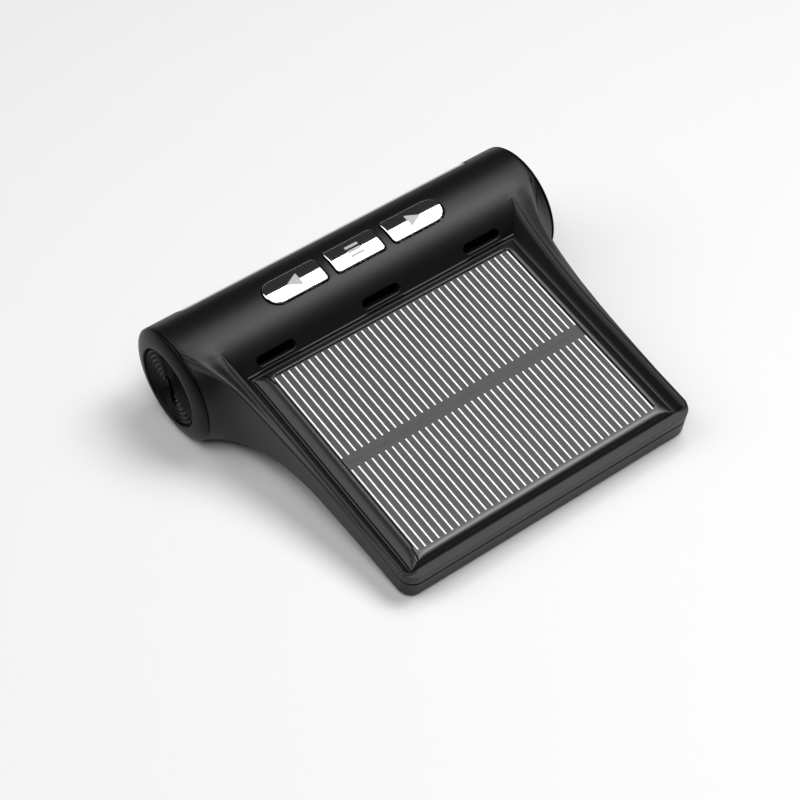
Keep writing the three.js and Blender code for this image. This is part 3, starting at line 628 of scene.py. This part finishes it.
def opening(name, shape, centre, low, grow, lip, high=12.0):
    """A cutter through the barrel's wall whose mouth widens into a rounded lip."""
    rings = closing(shape(grow), centre, low)[::-1]
    rings += [wrap(shape(grow), centre, r) for r in (low, BARREL_R - lip)]
    for angle in np.radians(np.linspace(0, 75, 6)[1:]):
        spread = grow + lip * (1 - cos(angle))
        rings.append(wrap(shape(spread), centre, BARREL_R - lip + lip * sin(angle)))
    rise = high - (BARREL_R - lip + lip * sin(angle))
    mouth = shape(spread + rise * tan(angle))
    rings.append(wrap(mouth, centre, high))
    return loft(name, rings + closing(mouth, centre, high))


def domed(name, shape, centre, profile, inset, steps=9):
    """A raised piece on the barrel: its side follows profile (r, grow), its top closes in on the middle."""
    rings = [wrap(shape(grow), centre, r) for r, grow in profile]
    low, grow = profile[0]
    return loft(name, closing(shape(grow), centre, low, steps)[::-1] + rings
                + closing(shape(-inset), centre, profile[-1][0], steps))


def key_shape(name):
    x0, x1 = KEY_SPANS[name]
    half = across(KEY_HALF)
    left_r = half if name == "previous" else KEY_CORNER
    right_r = half if name == "next" else KEY_CORNER
    return lambda grow: outline(x0, x1, half, left_r - 0.01, right_r - 0.01, grow)


def vent_shape(x):
    r = VENT_WIDE / 2
    return lambda grow: outline(x - VENT_LONG / 2, x + VENT_LONG / 2, r, r - 0.01, r - 0.01, grow)


def window_shape(inset, corner):
    half = across(WINDOW_HALF)
    reach = WINDOW_X - inset
    return lambda grow: outline(-reach, reach, half - inset, corner, corner, grow, run=40)


WINDOW_LIP = 2.2
key_holes = [opening("hole", key_shape(n), KEY_CENTRE, 8.5, KEY_GAP, 0.16) for n in KEY_SPANS]
vents = [opening("vent", vent_shape(x), VENT_ANGLE, 8.5, 0.0, 0.3) for x in VENT_XS]


def window_cutters():
    return [opening("wide", window_shape(0, 1.0), WINDOW_CENTRE, BORE_R + 0.5, 0.0, 0.12, 12.6),
            opening("through", window_shape(WINDOW_LIP, 0.6), WINDOW_CENTRE, 8.5, 0.0, 0.1, 12.4)]


cut(top_shell, key_holes + vents + window_cutters())
cut(bottom_shell, window_cutters())


# ---- end caps

CAP = {"width": 1.5, "round": 3.2, "lip_r": 8.2, "face": 0.8, "ridges": 7, "pitch": 0.9, "height": 0.45}
SLOT = {"long": 6.9, "short": 2.0, "corner": 0.6, "lean": -20.7, "y": -0.45, "z": -0.6}


def cap_profile():
    """Section of a cap as (r, distance outside the barrel's end)."""
    points = [(0, 0.1), (1.0, 0.1), (8.6, 0.1), (8.6, -2.8), (8.8, -3.0), (9.6, -3.0), (9.8, -2.8),
              (9.8, 0.12), (11.3, 0.12), (11.52, 0.15)]
    for t in np.linspace(0, 90, 22):
        inward = CAP["round"] * (1 - max(0.0, cos(radians(t))) ** 1.3)
        points.append((BARREL_R - 0.02 - inward, 0.22 + (CAP["width"] - 0.22) * sin(radians(t)) ** 1.3))
    lip, face = CAP["lip_r"], CAP["face"]
    points += [(lip, CAP["width"] - 0.02), (lip - 0.1, CAP["width"] - 0.1), (lip - 0.15, CAP["width"] - 0.25),
               (lip - 0.22, face + 0.1), (lip - 0.3, face)]
    start = lip - 0.35
    for k in range(CAP["ridges"]):
        for t in shares(9)[:-1]:
            rise = CAP["height"] * (0.5 - 0.5 * cos(2 * PI * t)) ** 0.8
            points.append((start - (k + t) * CAP["pitch"], face + rise))
    points += [(start - CAP["ridges"] * CAP["pitch"], face), (0, face)]
    return points


def turned(name, profile, to_point, steps=144):
    """Turns a closed section about an axis. to_point takes (r, along, angle)."""
    rings = [[to_point(r, along, angle) for r, along in profile]
             for angle in np.linspace(0, 2 * PI, steps + 1)[:-1]]
    return loft(name, rings, closed=True)


def slot_loft(name, spots, long=SLOT["long"], short=SLOT["short"], corner=SLOT["corner"]):
    """Skins the charging slot's outline through spots (x, grow)."""
    return loft(name, [slot_ring(x, outline(-long / 2, long / 2, short / 2, corner, corner, grow, run=6))
                       for x, grow in spots])


def slot_ring(x, points):
    """Stands an outline up at x, with its long way leaning back like the slot."""
    lean = radians(SLOT["lean"])
    ring = []
    for up, side in points:
        ring.append((x, AXIS_Y + SLOT["y"] + (side * cos(lean) - up * sin(lean)),
                     AXIS_Z + SLOT["z"] + (side * sin(lean) + up * cos(lean))))
    return ring


def end_cap(side):
    name = "left" if side < 0 else "right"
    to_point = lambda r, t, angle: (side * (END_X + t), AXIS_Y + r * cos(angle), AXIS_Z + r * sin(angle))
    cap = turned(name + "_end_cap_domed", cap_profile(), to_point)
    if side < 0:
        face = -END_X - CAP["face"]
        mouth = ((face - 0.1, 0), (face - 0.25, 0.04), (face - 0.35, 0.15), (face - 1.5, 1.0))
        cut(cap, [slot_loft("slot", ((-END_X + 1, 0), *mouth))])
    return cap


caps = {side: end_cap(side) for side in SIDES}

# The charging socket is a folded metal shell round a dark tongue.
socket_shell = slot_loft("usb_port_shell", ((-33.6, 0.2), (-39.2, 0.2), (-39.36, 0.16), (-39.4, 0.05),
                                            (-39.36, -0.02), (-39.2, -0.08), (-34.2, -0.08)))
socket_tongue = slot_loft("usb_port_tongue", ((-34.0, 0), (-38.4, 0), (-38.55, -0.1)), 5.2, 0.75, 0.15)


# ---- keys

KEY_TOP, KEY_BEVEL, KEY_SIDE = 11.93, 0.34, 11.72


def key_profile():
    points = [(9.0, 0.5), (9.05, 0.6), (9.5, 0.6), (9.58, 0.5), (9.6, 0.0), (KEY_SIDE, 0.0)]
    for angle in np.radians(np.linspace(0, 90, 8)[1:]):
        points.append((KEY_SIDE + (KEY_TOP - KEY_SIDE) * sin(angle), KEY_BEVEL * (cos(angle) - 1)))
    return points


def rounded_polygon(corners, r, steps=6):
    """Points round a polygon whose corners are eased by radius r."""
    points = []
    for i in range(len(corners)):
        before, here, after = (np.array(corners[(i + k) % len(corners)], float) for k in (-1, 0, 1))
        u = (before - here) / np.linalg.norm(before - here)
        v = (after - here) / np.linalg.norm(after - here)
        half = acos(np.clip(u @ v, -1, 1)) / 2
        reach = r / tan(half)
        points += [tuple(here + u * reach * (1 - t) ** 2 + v * reach * t ** 2)
                   for t in shares(steps)]
    dense = []
    for p, q in zip(points, points[1:] + points[:1]):
        dense += [mix(p, q, t) for t in shares(5)[:-1]]
    return dense


def icon(name, points):
    """A low relief mark on a key's face."""
    profile = [(1.0, -0.2), (1.0, 0.05), (0.97, 0.09), *((k, 0.1) for k in (0.92, 0.7, 0.45, 0.2, 0.05))]
    return loft(name, [wrap(scaled(points, k), KEY_CENTRE, KEY_TOP + rise) for k, rise in profile])


ARROW, BAR_LONG, BAR_THICK, BAR_PITCH = 1.45, 2.9, 0.5, 1.05
keys, icons = {}, {}
for key_name, (x0, x1) in KEY_SPANS.items():
    shape = key_shape(key_name)
    keys[key_name] = domed(f"button_{key_name}_face", shape, KEY_CENTRE, key_profile(), KEY_BEVEL)
    middle = (x0 + x1) / 2
    if key_name == "menu":
        square = ((-1, -1), (1, -1), (1, 1), (-1, 1))
        marks = [([(middle + sx * BAR_LONG / 2, BAR_PITCH * row + sa * BAR_THICK / 2)
                   for sx, sa in square], 0.12) for row in (-1, 0, 1)]
    else:
        reach = -ARROW if key_name == "previous" else ARROW
        marks = [([(middle + reach, 0), (middle - reach, ARROW), (middle - reach, -ARROW)], 0.15)]
    icons[key_name] = [icon(f"button_{key_name}_mark_{i + 1}", rounded_polygon(corners, r))
                       for i, (corners, r) in enumerate(marks)]


# ---- display window

LENS_OUT, LENS_IN, LENS_SLACK = BARREL_R - 0.05, BORE_R + 0.6, 0.25
window_profile = [(LENS_IN, -LENS_SLACK - 0.1), (LENS_IN + 0.1, -LENS_SLACK)]
window_profile += [(LENS_OUT - 0.2 * (1 - sin(a)), -LENS_SLACK - 0.2 * (1 - cos(a)))
                   for a in np.radians(np.linspace(0, 90, 6))]
lens = domed("display_window_lens", window_shape(0, 1.0), WINDOW_CENTRE, window_profile, LENS_SLACK + 0.2, 14)


# ---- solar panel

PANEL = {"half": 30.0, "front": 2.85, "back": 50.6, "base": 4.4, "edge": 4.62, "top": 5.3}
BEVEL = {"left": 2.5, "right": 2.0, "front": 1.8, "rear": 1.2}  # width of the sloping border on each side
PANEL_TOP_R, PANEL_BOW, PANEL_BOW_RUN = 2.4, 0.15, 2.2
GROOVE_WIDE, GROOVE_DEEP, TOP_FROM = 0.17, 0.42, 1.22
ARC, RUN = 12, 60


def panel_ring(u, z):
    """The cover's outline: u is 0 at its outer edge and mitred tips, and 1 where the top face starts."""
    x0, x1 = BEVEL["left"] * u - PANEL["half"], PANEL["half"] - BEVEL["right"] * u
    y0, y1 = PANEL["front"] + BEVEL["front"] * u, PANEL["back"] - BEVEL["rear"] * u
    half, mid_x, mid_y = (y1 - y0) / 2, (x0 + x1) / 2, (y0 + y1) / 2
    sharp = max(0.0, 1 - u) ** 1.3
    r = PANEL_TOP_R + (0.06 - PANEL_TOP_R) * sharp - 9.5 * max(0.0, u - 1)
    ring = []
    for x, a in outline(x0, x1, half, r, r, 0.0, arc=ARC, run=RUN):
        gap_x, gap_a = (x1 - x0) / 2 - abs(x - mid_x), half - abs(a)
        bow = PANEL_BOW * sharp * (1 - exp(-max(gap_x, gap_a) / PANEL_BOW_RUN))
        if gap_x < gap_a:
            x -= copysign(bow, x - mid_x)
        else:
            a -= copysign(bow, a)
        ring.append((x, mid_y + a, z))
    return ring


def groove_line():
    """For each point round the cover, where the groove lies and how deep it is.
    It runs along the left side and leaves through both tips there."""
    block = ARC + RUN - 1
    at, deep = np.full(4 * block, 0.15), np.zeros(4 * block)
    turn = shares(ARC)
    left_run = slice(block + ARC, 2 * block)
    at[left_run], deep[left_run] = 1.0, 1.0
    for start, way in ((block, turn[::-1]), (2 * block, turn)):
        at[start:start + ARC] = 1 - 0.85 * way
        deep[start:start + ARC] = np.clip((1 - way) * 4, 0, 1)
    return at, deep


def cover_height(u):
    return PANEL["edge"] + (PANEL["top"] - PANEL["edge"]) * (1 - (1 - np.minimum(u, 1)) ** 1.7)


def solar_cover():
    """The moulded cover: a hollow underside, a thin edge, the bevel, the groove and the clear top face."""
    levels = np.linspace(0, TOP_FROM, 40)
    table = np.array([panel_ring(u, 0) for u in levels])
    at, deep = groove_line()

    def ring(u, drop=0.0):
        spots = [[np.interp(u[j], levels, table[:, j, k]) for k in (0, 1)] for j in range(len(at))]
        z = cover_height(u) - drop
        return [(x, y, h) for (x, y), h in zip(spots, z)]

    base = PANEL["base"]
    under_side = ((1.24, 5.05), (1.24, 4.98), (1.2, 4.98), (1.2, 4.72), (0.7, 4.72), (0.7, base), (0.2, base),
                  (0.05, base + 0.03), (0.0, base + 0.12))
    rings = [panel_ring(u, z) for u, z in under_side]
    rings += [ring(at * t) for t in shares(10)]
    for t, dip in ((0.08, 0.3), (0.2, 1.0), (0.5, 1.1), (0.8, 1.0), (0.92, 0.3), (1.0, 0.0)):
        rings.append(ring(at + GROOVE_WIDE * t, GROOVE_DEEP * dip * deep))
    start = at + GROOVE_WIDE
    rings += [ring(start + (TOP_FROM - 0.02 - start) * t) for t in shares(12)[1:]]
    rings.append(ring(np.full(len(at), TOP_FROM)))
    return loft("solar_cover_moulded", rings)


def slab(name, x0, x1, y0, y1, z0, z1, r, ease):
    """A flat block with round corners and eased edges."""
    mid, half = (y0 + y1) / 2, (y1 - y0) / 2
    edge = ((0, -2), (0, -1), (0.3, -0.3), (1, 0))
    levels = [(z0 + ease * up, ease * grow) for up, grow in edge]
    levels += [(z1 - ease * up, ease * grow) for up, grow in reversed(edge)]
    return loft(name, [[(x, mid + a, z) for x, a in outline(x0, x1, half, r, r, grow, run=4)]
                       for z, grow in levels])


CELL_ROWS = {"front": (5.05, 26.49), "rear": (26.51, 49.12)}
CELL_TOP, CELL_LOW, CELL_SPAN = 4.84, 4.74, (-26.95, 27.5)
FINGER_ROWS = {"front": (5.3, 25.13), "rear": (28.0, 48.8)}
FINGER_FROM, FINGER_TO, FINGER_COUNT, FINGER_WIDE, FINGER_HIGH = -26.6, 27.15, 37, 0.3, 0.04


def fingers(name, y0, y1):
    """Printed contact lines, side by side, each a low bar with eased edges."""
    bm = bmesh.new()
    for x in np.linspace(FINGER_FROM, FINGER_TO, FINGER_COUNT):
        rings = []
        for rise, inset in ((-0.02, 0.0), (FINGER_HIGH * 0.6, 0.0), (FINGER_HIGH, 0.05)):
            z, half, low, high = CELL_TOP + rise, FINGER_WIDE / 2 - inset, y0 + inset, y1 - inset
            rings.append([(x - half, low, z), (x + half, low, z), (x + half, high, z), (x - half, high, z)])
        skin(bm, rings)
    return new_object(name, bm)


cover = solar_cover()
cells, contact_lines = {}, {}
for row, (y0, y1) in CELL_ROWS.items():
    cells[row] = slab(f"solar_cells_{row}_plate", *CELL_SPAN, y0, y1, CELL_LOW, CELL_TOP, 0.1, 0.01)
    contact_lines[row] = fingers(f"solar_cells_{row}_lines", *FINGER_ROWS[row])


# ---- underside: pad, screws and their wells

SCREWS = {
    "rear": {"x": 26, "y": 44, "seat": -3.2, "tip": 1.9, "head_r": 1.9, "head": 1.5, "shank": 0.95},
    "front": {"x": 26.5, "y": 9, "seat": 0.95, "tip": 3.75, "head_r": 1.5, "head": 0.75, "shank": 0.7},
}
WELL_GAP, WELL_WALL = 0.3, 0.6


def upright(x, y):
    """For turned(): stands the section's axis upright at x and y."""
    return lambda r, z, angle: (x + r * cos(angle), y + r * sin(angle), z)


def screw(name, x, y, seat, tip, head_r, head, shank):
    """A pan head screw that points up, with a cross recess and a thread."""
    profile = [(0, seat - head)]
    for angle in np.radians(np.linspace(90, 0, 8)):
        profile.append((head_r * (0.55 + 0.45 * cos(angle)), seat - head * (0.45 + 0.55 * sin(angle))))
    profile += [(head_r, seat - 0.12), (head_r - 0.07, seat - 0.05), (shank, seat - 0.05)]
    turns = int((tip - seat - shank) / 0.4)
    for i in range(turns):
        z = seat + 0.15 + i * 0.4
        profile += [(shank * 0.82, z), (shank, z + 0.16), (shank, z + 0.22), (shank * 0.82, z + 0.36)]
    profile += [(shank * 0.8, tip - shank * 0.8), (0.1, tip), (0, tip)]
    body = turned(name, profile, upright(x, y), 48)
    arm, thin = head_r * 0.62, 0.2
    plus = []
    for turn in range(4):
        c, n = cos(turn * PI / 2), sin(turn * PI / 2)
        plus += [(u * c - v * n, u * n + v * c) for u, v in ((arm, -thin), (arm, thin), (thin, thin))]
    rings = [[(x + u * k, y + v * k, z) for u, v in plus]
             for z, k in ((seat - head - 1, 1.0), (seat - head, 1.0), (seat - head * 0.5, 0.8))]
    cut(body, [loft("recess", rings)])
    return body


def well(name, x, y, seat, head_r):
    """The cup in the bottom shell where a screw's head sits."""
    inner, outer = head_r + WELL_GAP, head_r + WELL_GAP + WELL_WALL
    mouth, hole, top = under(y) + 0.3, head_r * 0.62, seat + WELL_WALL
    profile = [(inner, mouth), (inner, seat), (hole, seat), (hole, top), (outer, top), (outer, mouth + 0.3)]
    return turned(name, profile, upright(x, y), 48)


screws, wells, well_holes = {}, {}, []
for kind, size in SCREWS.items():
    for side in SIDES:
        label = f"{kind}_screw_{'left' if side < 0 else 'right'}"
        y, x = size["y"], side * size["x"]
        screws[label] = screw(label + "_turned", **{**size, "x": x})
        wells[label] = well(label + "_well", x, y, size["seat"], size["head_r"])
        r, to_point = size["head_r"] + WELL_GAP, upright(x, y)
        rings = [[to_point(r + more, under(y) + z, angle) for angle in np.linspace(0, 2 * PI, 49)[:-1]]
                 for z, more in ((1.6, -0.01), (0.2, -0.01), (0.06, 0.05), (-0.02, 0.2), (-2.5, 0.9))]
        well_holes.append(loft("well_hole", rings))
cut(bottom_shell, well_holes)
pad = slab("adhesive_pad_foam", -21, 21, 6.5, 25.5, -0.9, -0.02, 2.0, 0.08)

# ---- materials

KINDS = {"metallic": ("Metallic", 0.0), "specular": ("Specular IOR Level", 0.5), "coat": ("Coat Weight", 0.0),
         "coat_rough": ("Coat Roughness", 0.05)}


class Finish:
    """A procedural surface in the object's own coordinates."""

    def __init__(self, name, **kinds):
        self.material = bpy.data.materials.new(name)
        self.material.use_nodes = True
        self.nodes = self.material.node_tree.nodes
        self.link = self.material.node_tree.links.new
        self.shader = self.nodes["Principled BSDF"]
        for kind, (socket, usual) in KINDS.items():
            self.shader.inputs[socket].default_value = kinds.get(kind, usual)
        self.coordinates = self.nodes.new("ShaderNodeTexCoord")

    def node(self, kind, **inputs):
        node = self.nodes.new("ShaderNode" + kind)
        for name, value in inputs.items():
            node.inputs[name.replace("_", " ")].default_value = value
        return node

    def texture(self, kind, stretch=(1, 1, 1), **inputs):
        node, mapping = self.node(kind, **inputs), self.node("Mapping", Scale=stretch)
        self.link(self.coordinates.outputs["Object"], mapping.inputs["Vector"])
        self.link(mapping.outputs["Vector"], node.inputs["Vector"])
        return node

    def noise(self, scale, detail=3.0, rough=0.55, stretch=(1, 1, 1)):
        return self.texture("TexNoise", stretch, Scale=scale, Detail=detail, Roughness=rough).outputs["Fac"]

    def grain(self, scale):
        return self.texture("TexVoronoi", Scale=scale).outputs["Distance"]

    def colour(self, source, dark, light, low=0.3, high=0.7):
        ramp = self.node("ValToRGB")
        for stop, at, value in zip(ramp.color_ramp.elements, (low, high), (dark, light)):
            stop.position = at
            stop.color = (*value, 1)
        self.link(source, ramp.inputs["Fac"])
        self.link(ramp.outputs["Color"], self.shader.inputs["Base Color"])

    def roughness(self, source, least, most):
        remap = self.node("MapRange", To_Min=least, To_Max=most)
        self.link(source, remap.inputs["Value"])
        self.link(remap.outputs["Result"], self.shader.inputs["Roughness"])
        return remap

    def bump(self, source, strength, distance):
        relief = self.node("Bump", Strength=strength, Distance=distance * MM)
        self.link(source, relief.inputs["Height"])
        self.link(relief.outputs["Normal"], self.shader.inputs["Normal"])
        return relief


def tint(colour, factor):
    return tuple(min(1.0, c * factor) for c in colour)


def surface(name, colour, dark, light, mottle, gloss, relief, **kinds):
    """Mottled colour, uneven gloss and a fine texture, each over the noise given first."""
    finish = Finish(name, **kinds)
    finish.colour(finish.noise(*mottle), tint(colour, dark), tint(colour, light))
    finish.roughness(finish.noise(*gloss[0]), *gloss[1:])
    finish.bump(finish.noise(*relief[0]), *relief[1:])
    return finish.material


def simple(name, colour, rough, vary=0.12, grain=900, fine=6000, bump=0.15, **kinds):
    """What most pieces need."""
    gloss = ((grain * 1.7, 2.0), rough * 0.88, rough * 1.12)
    return surface(name, colour, 1 - vary, 1 + vary, (grain,), gloss, ((fine, 2.0), bump, 0.01), **kinds)


def housing_black(name, colour=(0.0034, 0.0035, 0.0038), rough=0.4, specular=0.3):
    gloss = ((5000, 2.0), rough - 0.05, rough + 0.06)
    relief = ((4200, 3.0, 0.6), 0.22, 0.012)
    return surface(name, colour, 0.8, 1.3, (3500, 4.0), gloss, relief, specular=specular)


def brushed(name, colour, rough, stretch):
    streaks = (1500, 3.0, 0.6, stretch)
    gloss = (streaks, rough * 0.8, rough * 1.25)
    relief = ((3000, 2.0, 0.5, stretch), 0.12, 0.008)
    return surface(name, colour, 0.85, 1.1, streaks, gloss, relief, metallic=1.0)


def chrome(name, colour):
    gloss, relief = ((900, 2.0), 0.04, 0.07), ((260, 1.0), 0.02, 0.004)
    return surface(name, colour, 0.97, 1.02, (700, 2.0), gloss, relief, metallic=1.0)


def cell_face(name, colour):
    """Dark silicon: long faint streaks across the contact lines."""
    streaks = (500, 3.0, 0.6, (1.0, 0.25, 1.0))
    return surface(name, colour, 0.94, 1.06, streaks, ((900, 2.0), 0.42, 0.5), ((2500, 2.0), 0.03, 0.004))


def printed_board(name, base, track):
    finish = Finish(name, coat=0.3, coat_rough=0.25)
    finish.colour(finish.grain(450), base, track, 0.35, 0.5)
    finish.roughness(finish.noise(2500), 0.38, 0.5)
    finish.bump(finish.grain(450), 0.4, 0.03)
    return finish.material


def clear_pane(name):
    """A clear sheet: what lies under it shows, and its face still mirrors a little."""
    finish = Finish(name)
    remap = finish.roughness(finish.noise(1200, 2.0), 0.1, 0.16)
    relief = finish.bump(finish.noise(4000, 2.0), 0.03, 0.004)
    clear, gloss, blend = (finish.node(kind) for kind in ("BsdfTransparent", "BsdfGlossy", "MixShader"))
    edge = finish.node("Fresnel", IOR=PANE_IOR)
    share = finish.node("MapRange", To_Max=PANE_SHARE)
    finish.link(remap.outputs["Result"], gloss.inputs["Roughness"])
    for node in (gloss, edge):
        finish.link(relief.outputs["Normal"], node.inputs["Normal"])
    finish.link(edge.outputs["Fac"], share.inputs["Value"])
    finish.link(share.outputs["Result"], blend.inputs["Fac"])
    finish.link(clear.outputs["BSDF"], blend.inputs[1])
    finish.link(gloss.outputs["BSDF"], blend.inputs[2])
    finish.link(blend.outputs["Shader"], finish.nodes["Material Output"].inputs["Surface"])
    finish.nodes.remove(finish.shader)
    return finish.material


PANE_IOR, PANE_SHARE = 1.3, 0.06  # the pane's mirror, and the most of it that shows
# Each finish carries its slot's name, which Blender may number.
FINISHES = {material.name.split(".")[0]: material for material in (
    housing_black("housing_black"),
    chrome("button_chrome", (0.93, 0.935, 0.945)),
    simple("solar_cover", (0.006, 0.0061, 0.0065), 0.25, fine=3500, bump=0.06),
    cell_face("solar_cell", (0.013, 0.013, 0.0136)),
    simple("board_black", (0.035, 0.035, 0.037), 0.45),
    # board_green: a dark green board, darkened further to near black so the board seen through the vents
    # reads as black. This is the board's own colour plus painted shade.
    printed_board("board_green", (0.0009, 0.0032, 0.0020), (0.002, 0.007, 0.004)),
    simple("window_smoked", (0.004, 0.0045, 0.0055), 0.05, fine=1500, bump=0.015, coat=0.5),
    simple("lcd_glass", (0.09, 0.12, 0.1), 0.15),
    simple("backlight_white", (0.78, 0.78, 0.75), 0.5, vary=0.05),
    brushed("switch_metal", (0.66, 0.67, 0.69), 0.28, (1, 0.2, 1)),
    brushed("screw_steel", (0.2, 0.2, 0.21), 0.33, (1, 1, 0.2)),
    brushed("copper", (0.76, 0.42, 0.22), 0.25, (1, 1, 1)),
    simple("ribbon_amber", (0.55, 0.2, 0.03), 0.3, coat=0.4),
    brushed("cell_pouch", (0.62, 0.64, 0.67), 0.35, (0.4, 1, 1)),
    simple("part_black", (0.018, 0.018, 0.02), 0.4),
    simple("wire_red", (0.5, 0.02, 0.015), 0.42),
    simple("pad_foam", (0.022, 0.022, 0.023), 0.92, vary=0.35, grain=2600, fine=2200, bump=0.8),
)}
contact_silver = simple("contact_silver", (0.86, 0.88, 0.91), 0.45, vary=0.05, grain=2500)
mark_grey = simple("mark_grey", (0.42, 0.42, 0.43), 0.4, vary=0.08, grain=2500)
pane_clear = clear_pane("pane_clear")
# The end caps get a darker, less glossy copy of the housing's black plastic: painted shade on the caps.
cap_black_shaded = housing_black("cap_black_shaded", (0.003, 0.0031, 0.0033), 0.33, 0.1)
dark_tongue = simple("socket_tongue", (0.01, 0.01, 0.011), 0.5)


# ---- where each piece belongs

place(top_shell, "housing_black", ["top_shell"])
place(bottom_shell, "housing_black", ["bottom_shell"])
for side, cap in caps.items():
    place(cap, "housing_black", ["left_end_cap" if side < 0 else "right_end_cap"], material=cap_black_shaded)
place(socket_shell, "switch_metal", ["usb_port"])
place(socket_tongue, "part_black", material=dark_tongue)
for key_name, key in keys.items():
    body = key_name + "_button"
    place(key, "button_chrome", [f"button_{key_name}"], body)
    for mark in icons[key_name]:
        place(mark, "button_chrome", body=body, material=mark_grey)
place(lens, "window_smoked", ["display_window"])
place(cover, "solar_cover", ["solar_cover"])
cover.data.materials.append(pane_clear)
# Only the top face and the face below it have more than four corners.
for face in cover.data.polygons:
    face.material_index = int(len(face.vertices) > 4)
for row in CELL_ROWS:
    place(cells[row], "solar_cell", [f"solar_cells_{row}_row"])
    place(contact_lines[row], "solar_cell", material=contact_silver)
for label, turned_screw in screws.items():
    place(turned_screw, "screw_steel", [label])
    place(wells[label], "housing_black")
place(pad, "pad_foam", ["adhesive_pad"])

slots = {part["node"]: part["material_slot"] for part in frame["record"]["subparts"]}
for node, obj in frame["nodes"].items():
    for material_slot in obj.material_slots:
        material_slot.link = "OBJECT"
        material_slot.material = FINISHES[slots[node]]

# ---- camera, floor and light

CAMERA_AZ, CAMERA_EL, CAMERA_ROLL = -43.83, 55.244, 8.688  # degrees, in the plate frame
CAMERA_REACH, CAMERA_LENS = 414.65, 101.75
AIM = (0, 38, 6)
AIM_SHIFT = (-5.152, -9.254)


def toward(azimuth, elevation):
    """The way to look from the middle: azimuth 0 is in front, and 90 on the right."""
    az, el = radians(azimuth), radians(elevation)
    return Vector((sin(az) * cos(el), -cos(az) * cos(el), sin(el)))


def add_camera():
    az, roll = radians(CAMERA_AZ), radians(CAMERA_ROLL)
    back = toward(CAMERA_AZ, CAMERA_EL)
    level = Vector((cos(az), sin(az), 0))
    upward = level.cross(-back)
    right = cos(roll) * level + sin(roll) * upward
    up = cos(roll) * upward - sin(roll) * level
    spot = Vector(AIM) + AIM_SHIFT[0] * right + AIM_SHIFT[1] * up + back * CAMERA_REACH
    data = bpy.data.cameras.new("camera")
    data.lens = CAMERA_LENS
    data.sensor_width = 36
    data.clip_start, data.clip_end = 0.01, 10
    camera = add_object("camera", data)
    camera.matrix_world = (Matrix.Translation(TO_WORLD @ spot)
                           @ TURN @ Matrix((right, up, back)).transposed().to_4x4())
    bpy.context.scene.camera = camera


def add_light(name, azimuth, elevation, reach, size, power):
    """A soft box that looks at the object."""
    data = bpy.data.lights.new(name, "AREA")
    data.shape = "RECTANGLE"
    data.size, data.size_y = size
    data.energy = power
    light = add_object(name, data)
    light.location = toward(azimuth, elevation) * reach
    light.rotation_mode = "QUATERNION"
    light.rotation_quaternion = (-light.location).to_track_quat("-Z", "Y")


def add_floor():
    bm = bmesh.new()
    bmesh.ops.create_grid(bm, x_segments=2, y_segments=2, size=3)
    floor = new_object("floor", bm)
    mat = bpy.data.materials.new("floor")
    mat.use_nodes = True
    mat.node_tree.nodes["Principled BSDF"].inputs["Base Color"].default_value = (.8, .8, .81, 1)
    floor.data.materials.append(mat)


add_camera()
add_floor()
add_light("front_right", 60, 60, 0.70, (0.30, 0.30), 1.9)
add_light("right_top", 98, 66, 0.70, (0.45, 0.35), 2.1)
add_light("left_back", -122, 50, 0.70, (0.50, 0.70), 2.0)
add_light("camera_side", -30, 62, 0.90, (0.50, 0.50), 2.4)
world = bpy.data.worlds.new("studio")
bpy.context.scene.world = world
world.use_nodes = True
background = world.node_tree.nodes["Background"]
background.inputs["Color"].default_value = (1, 1, 1, 1)
background.inputs["Strength"].default_value = 0.03
bpy.context.scene.view_settings.view_transform = "Standard"
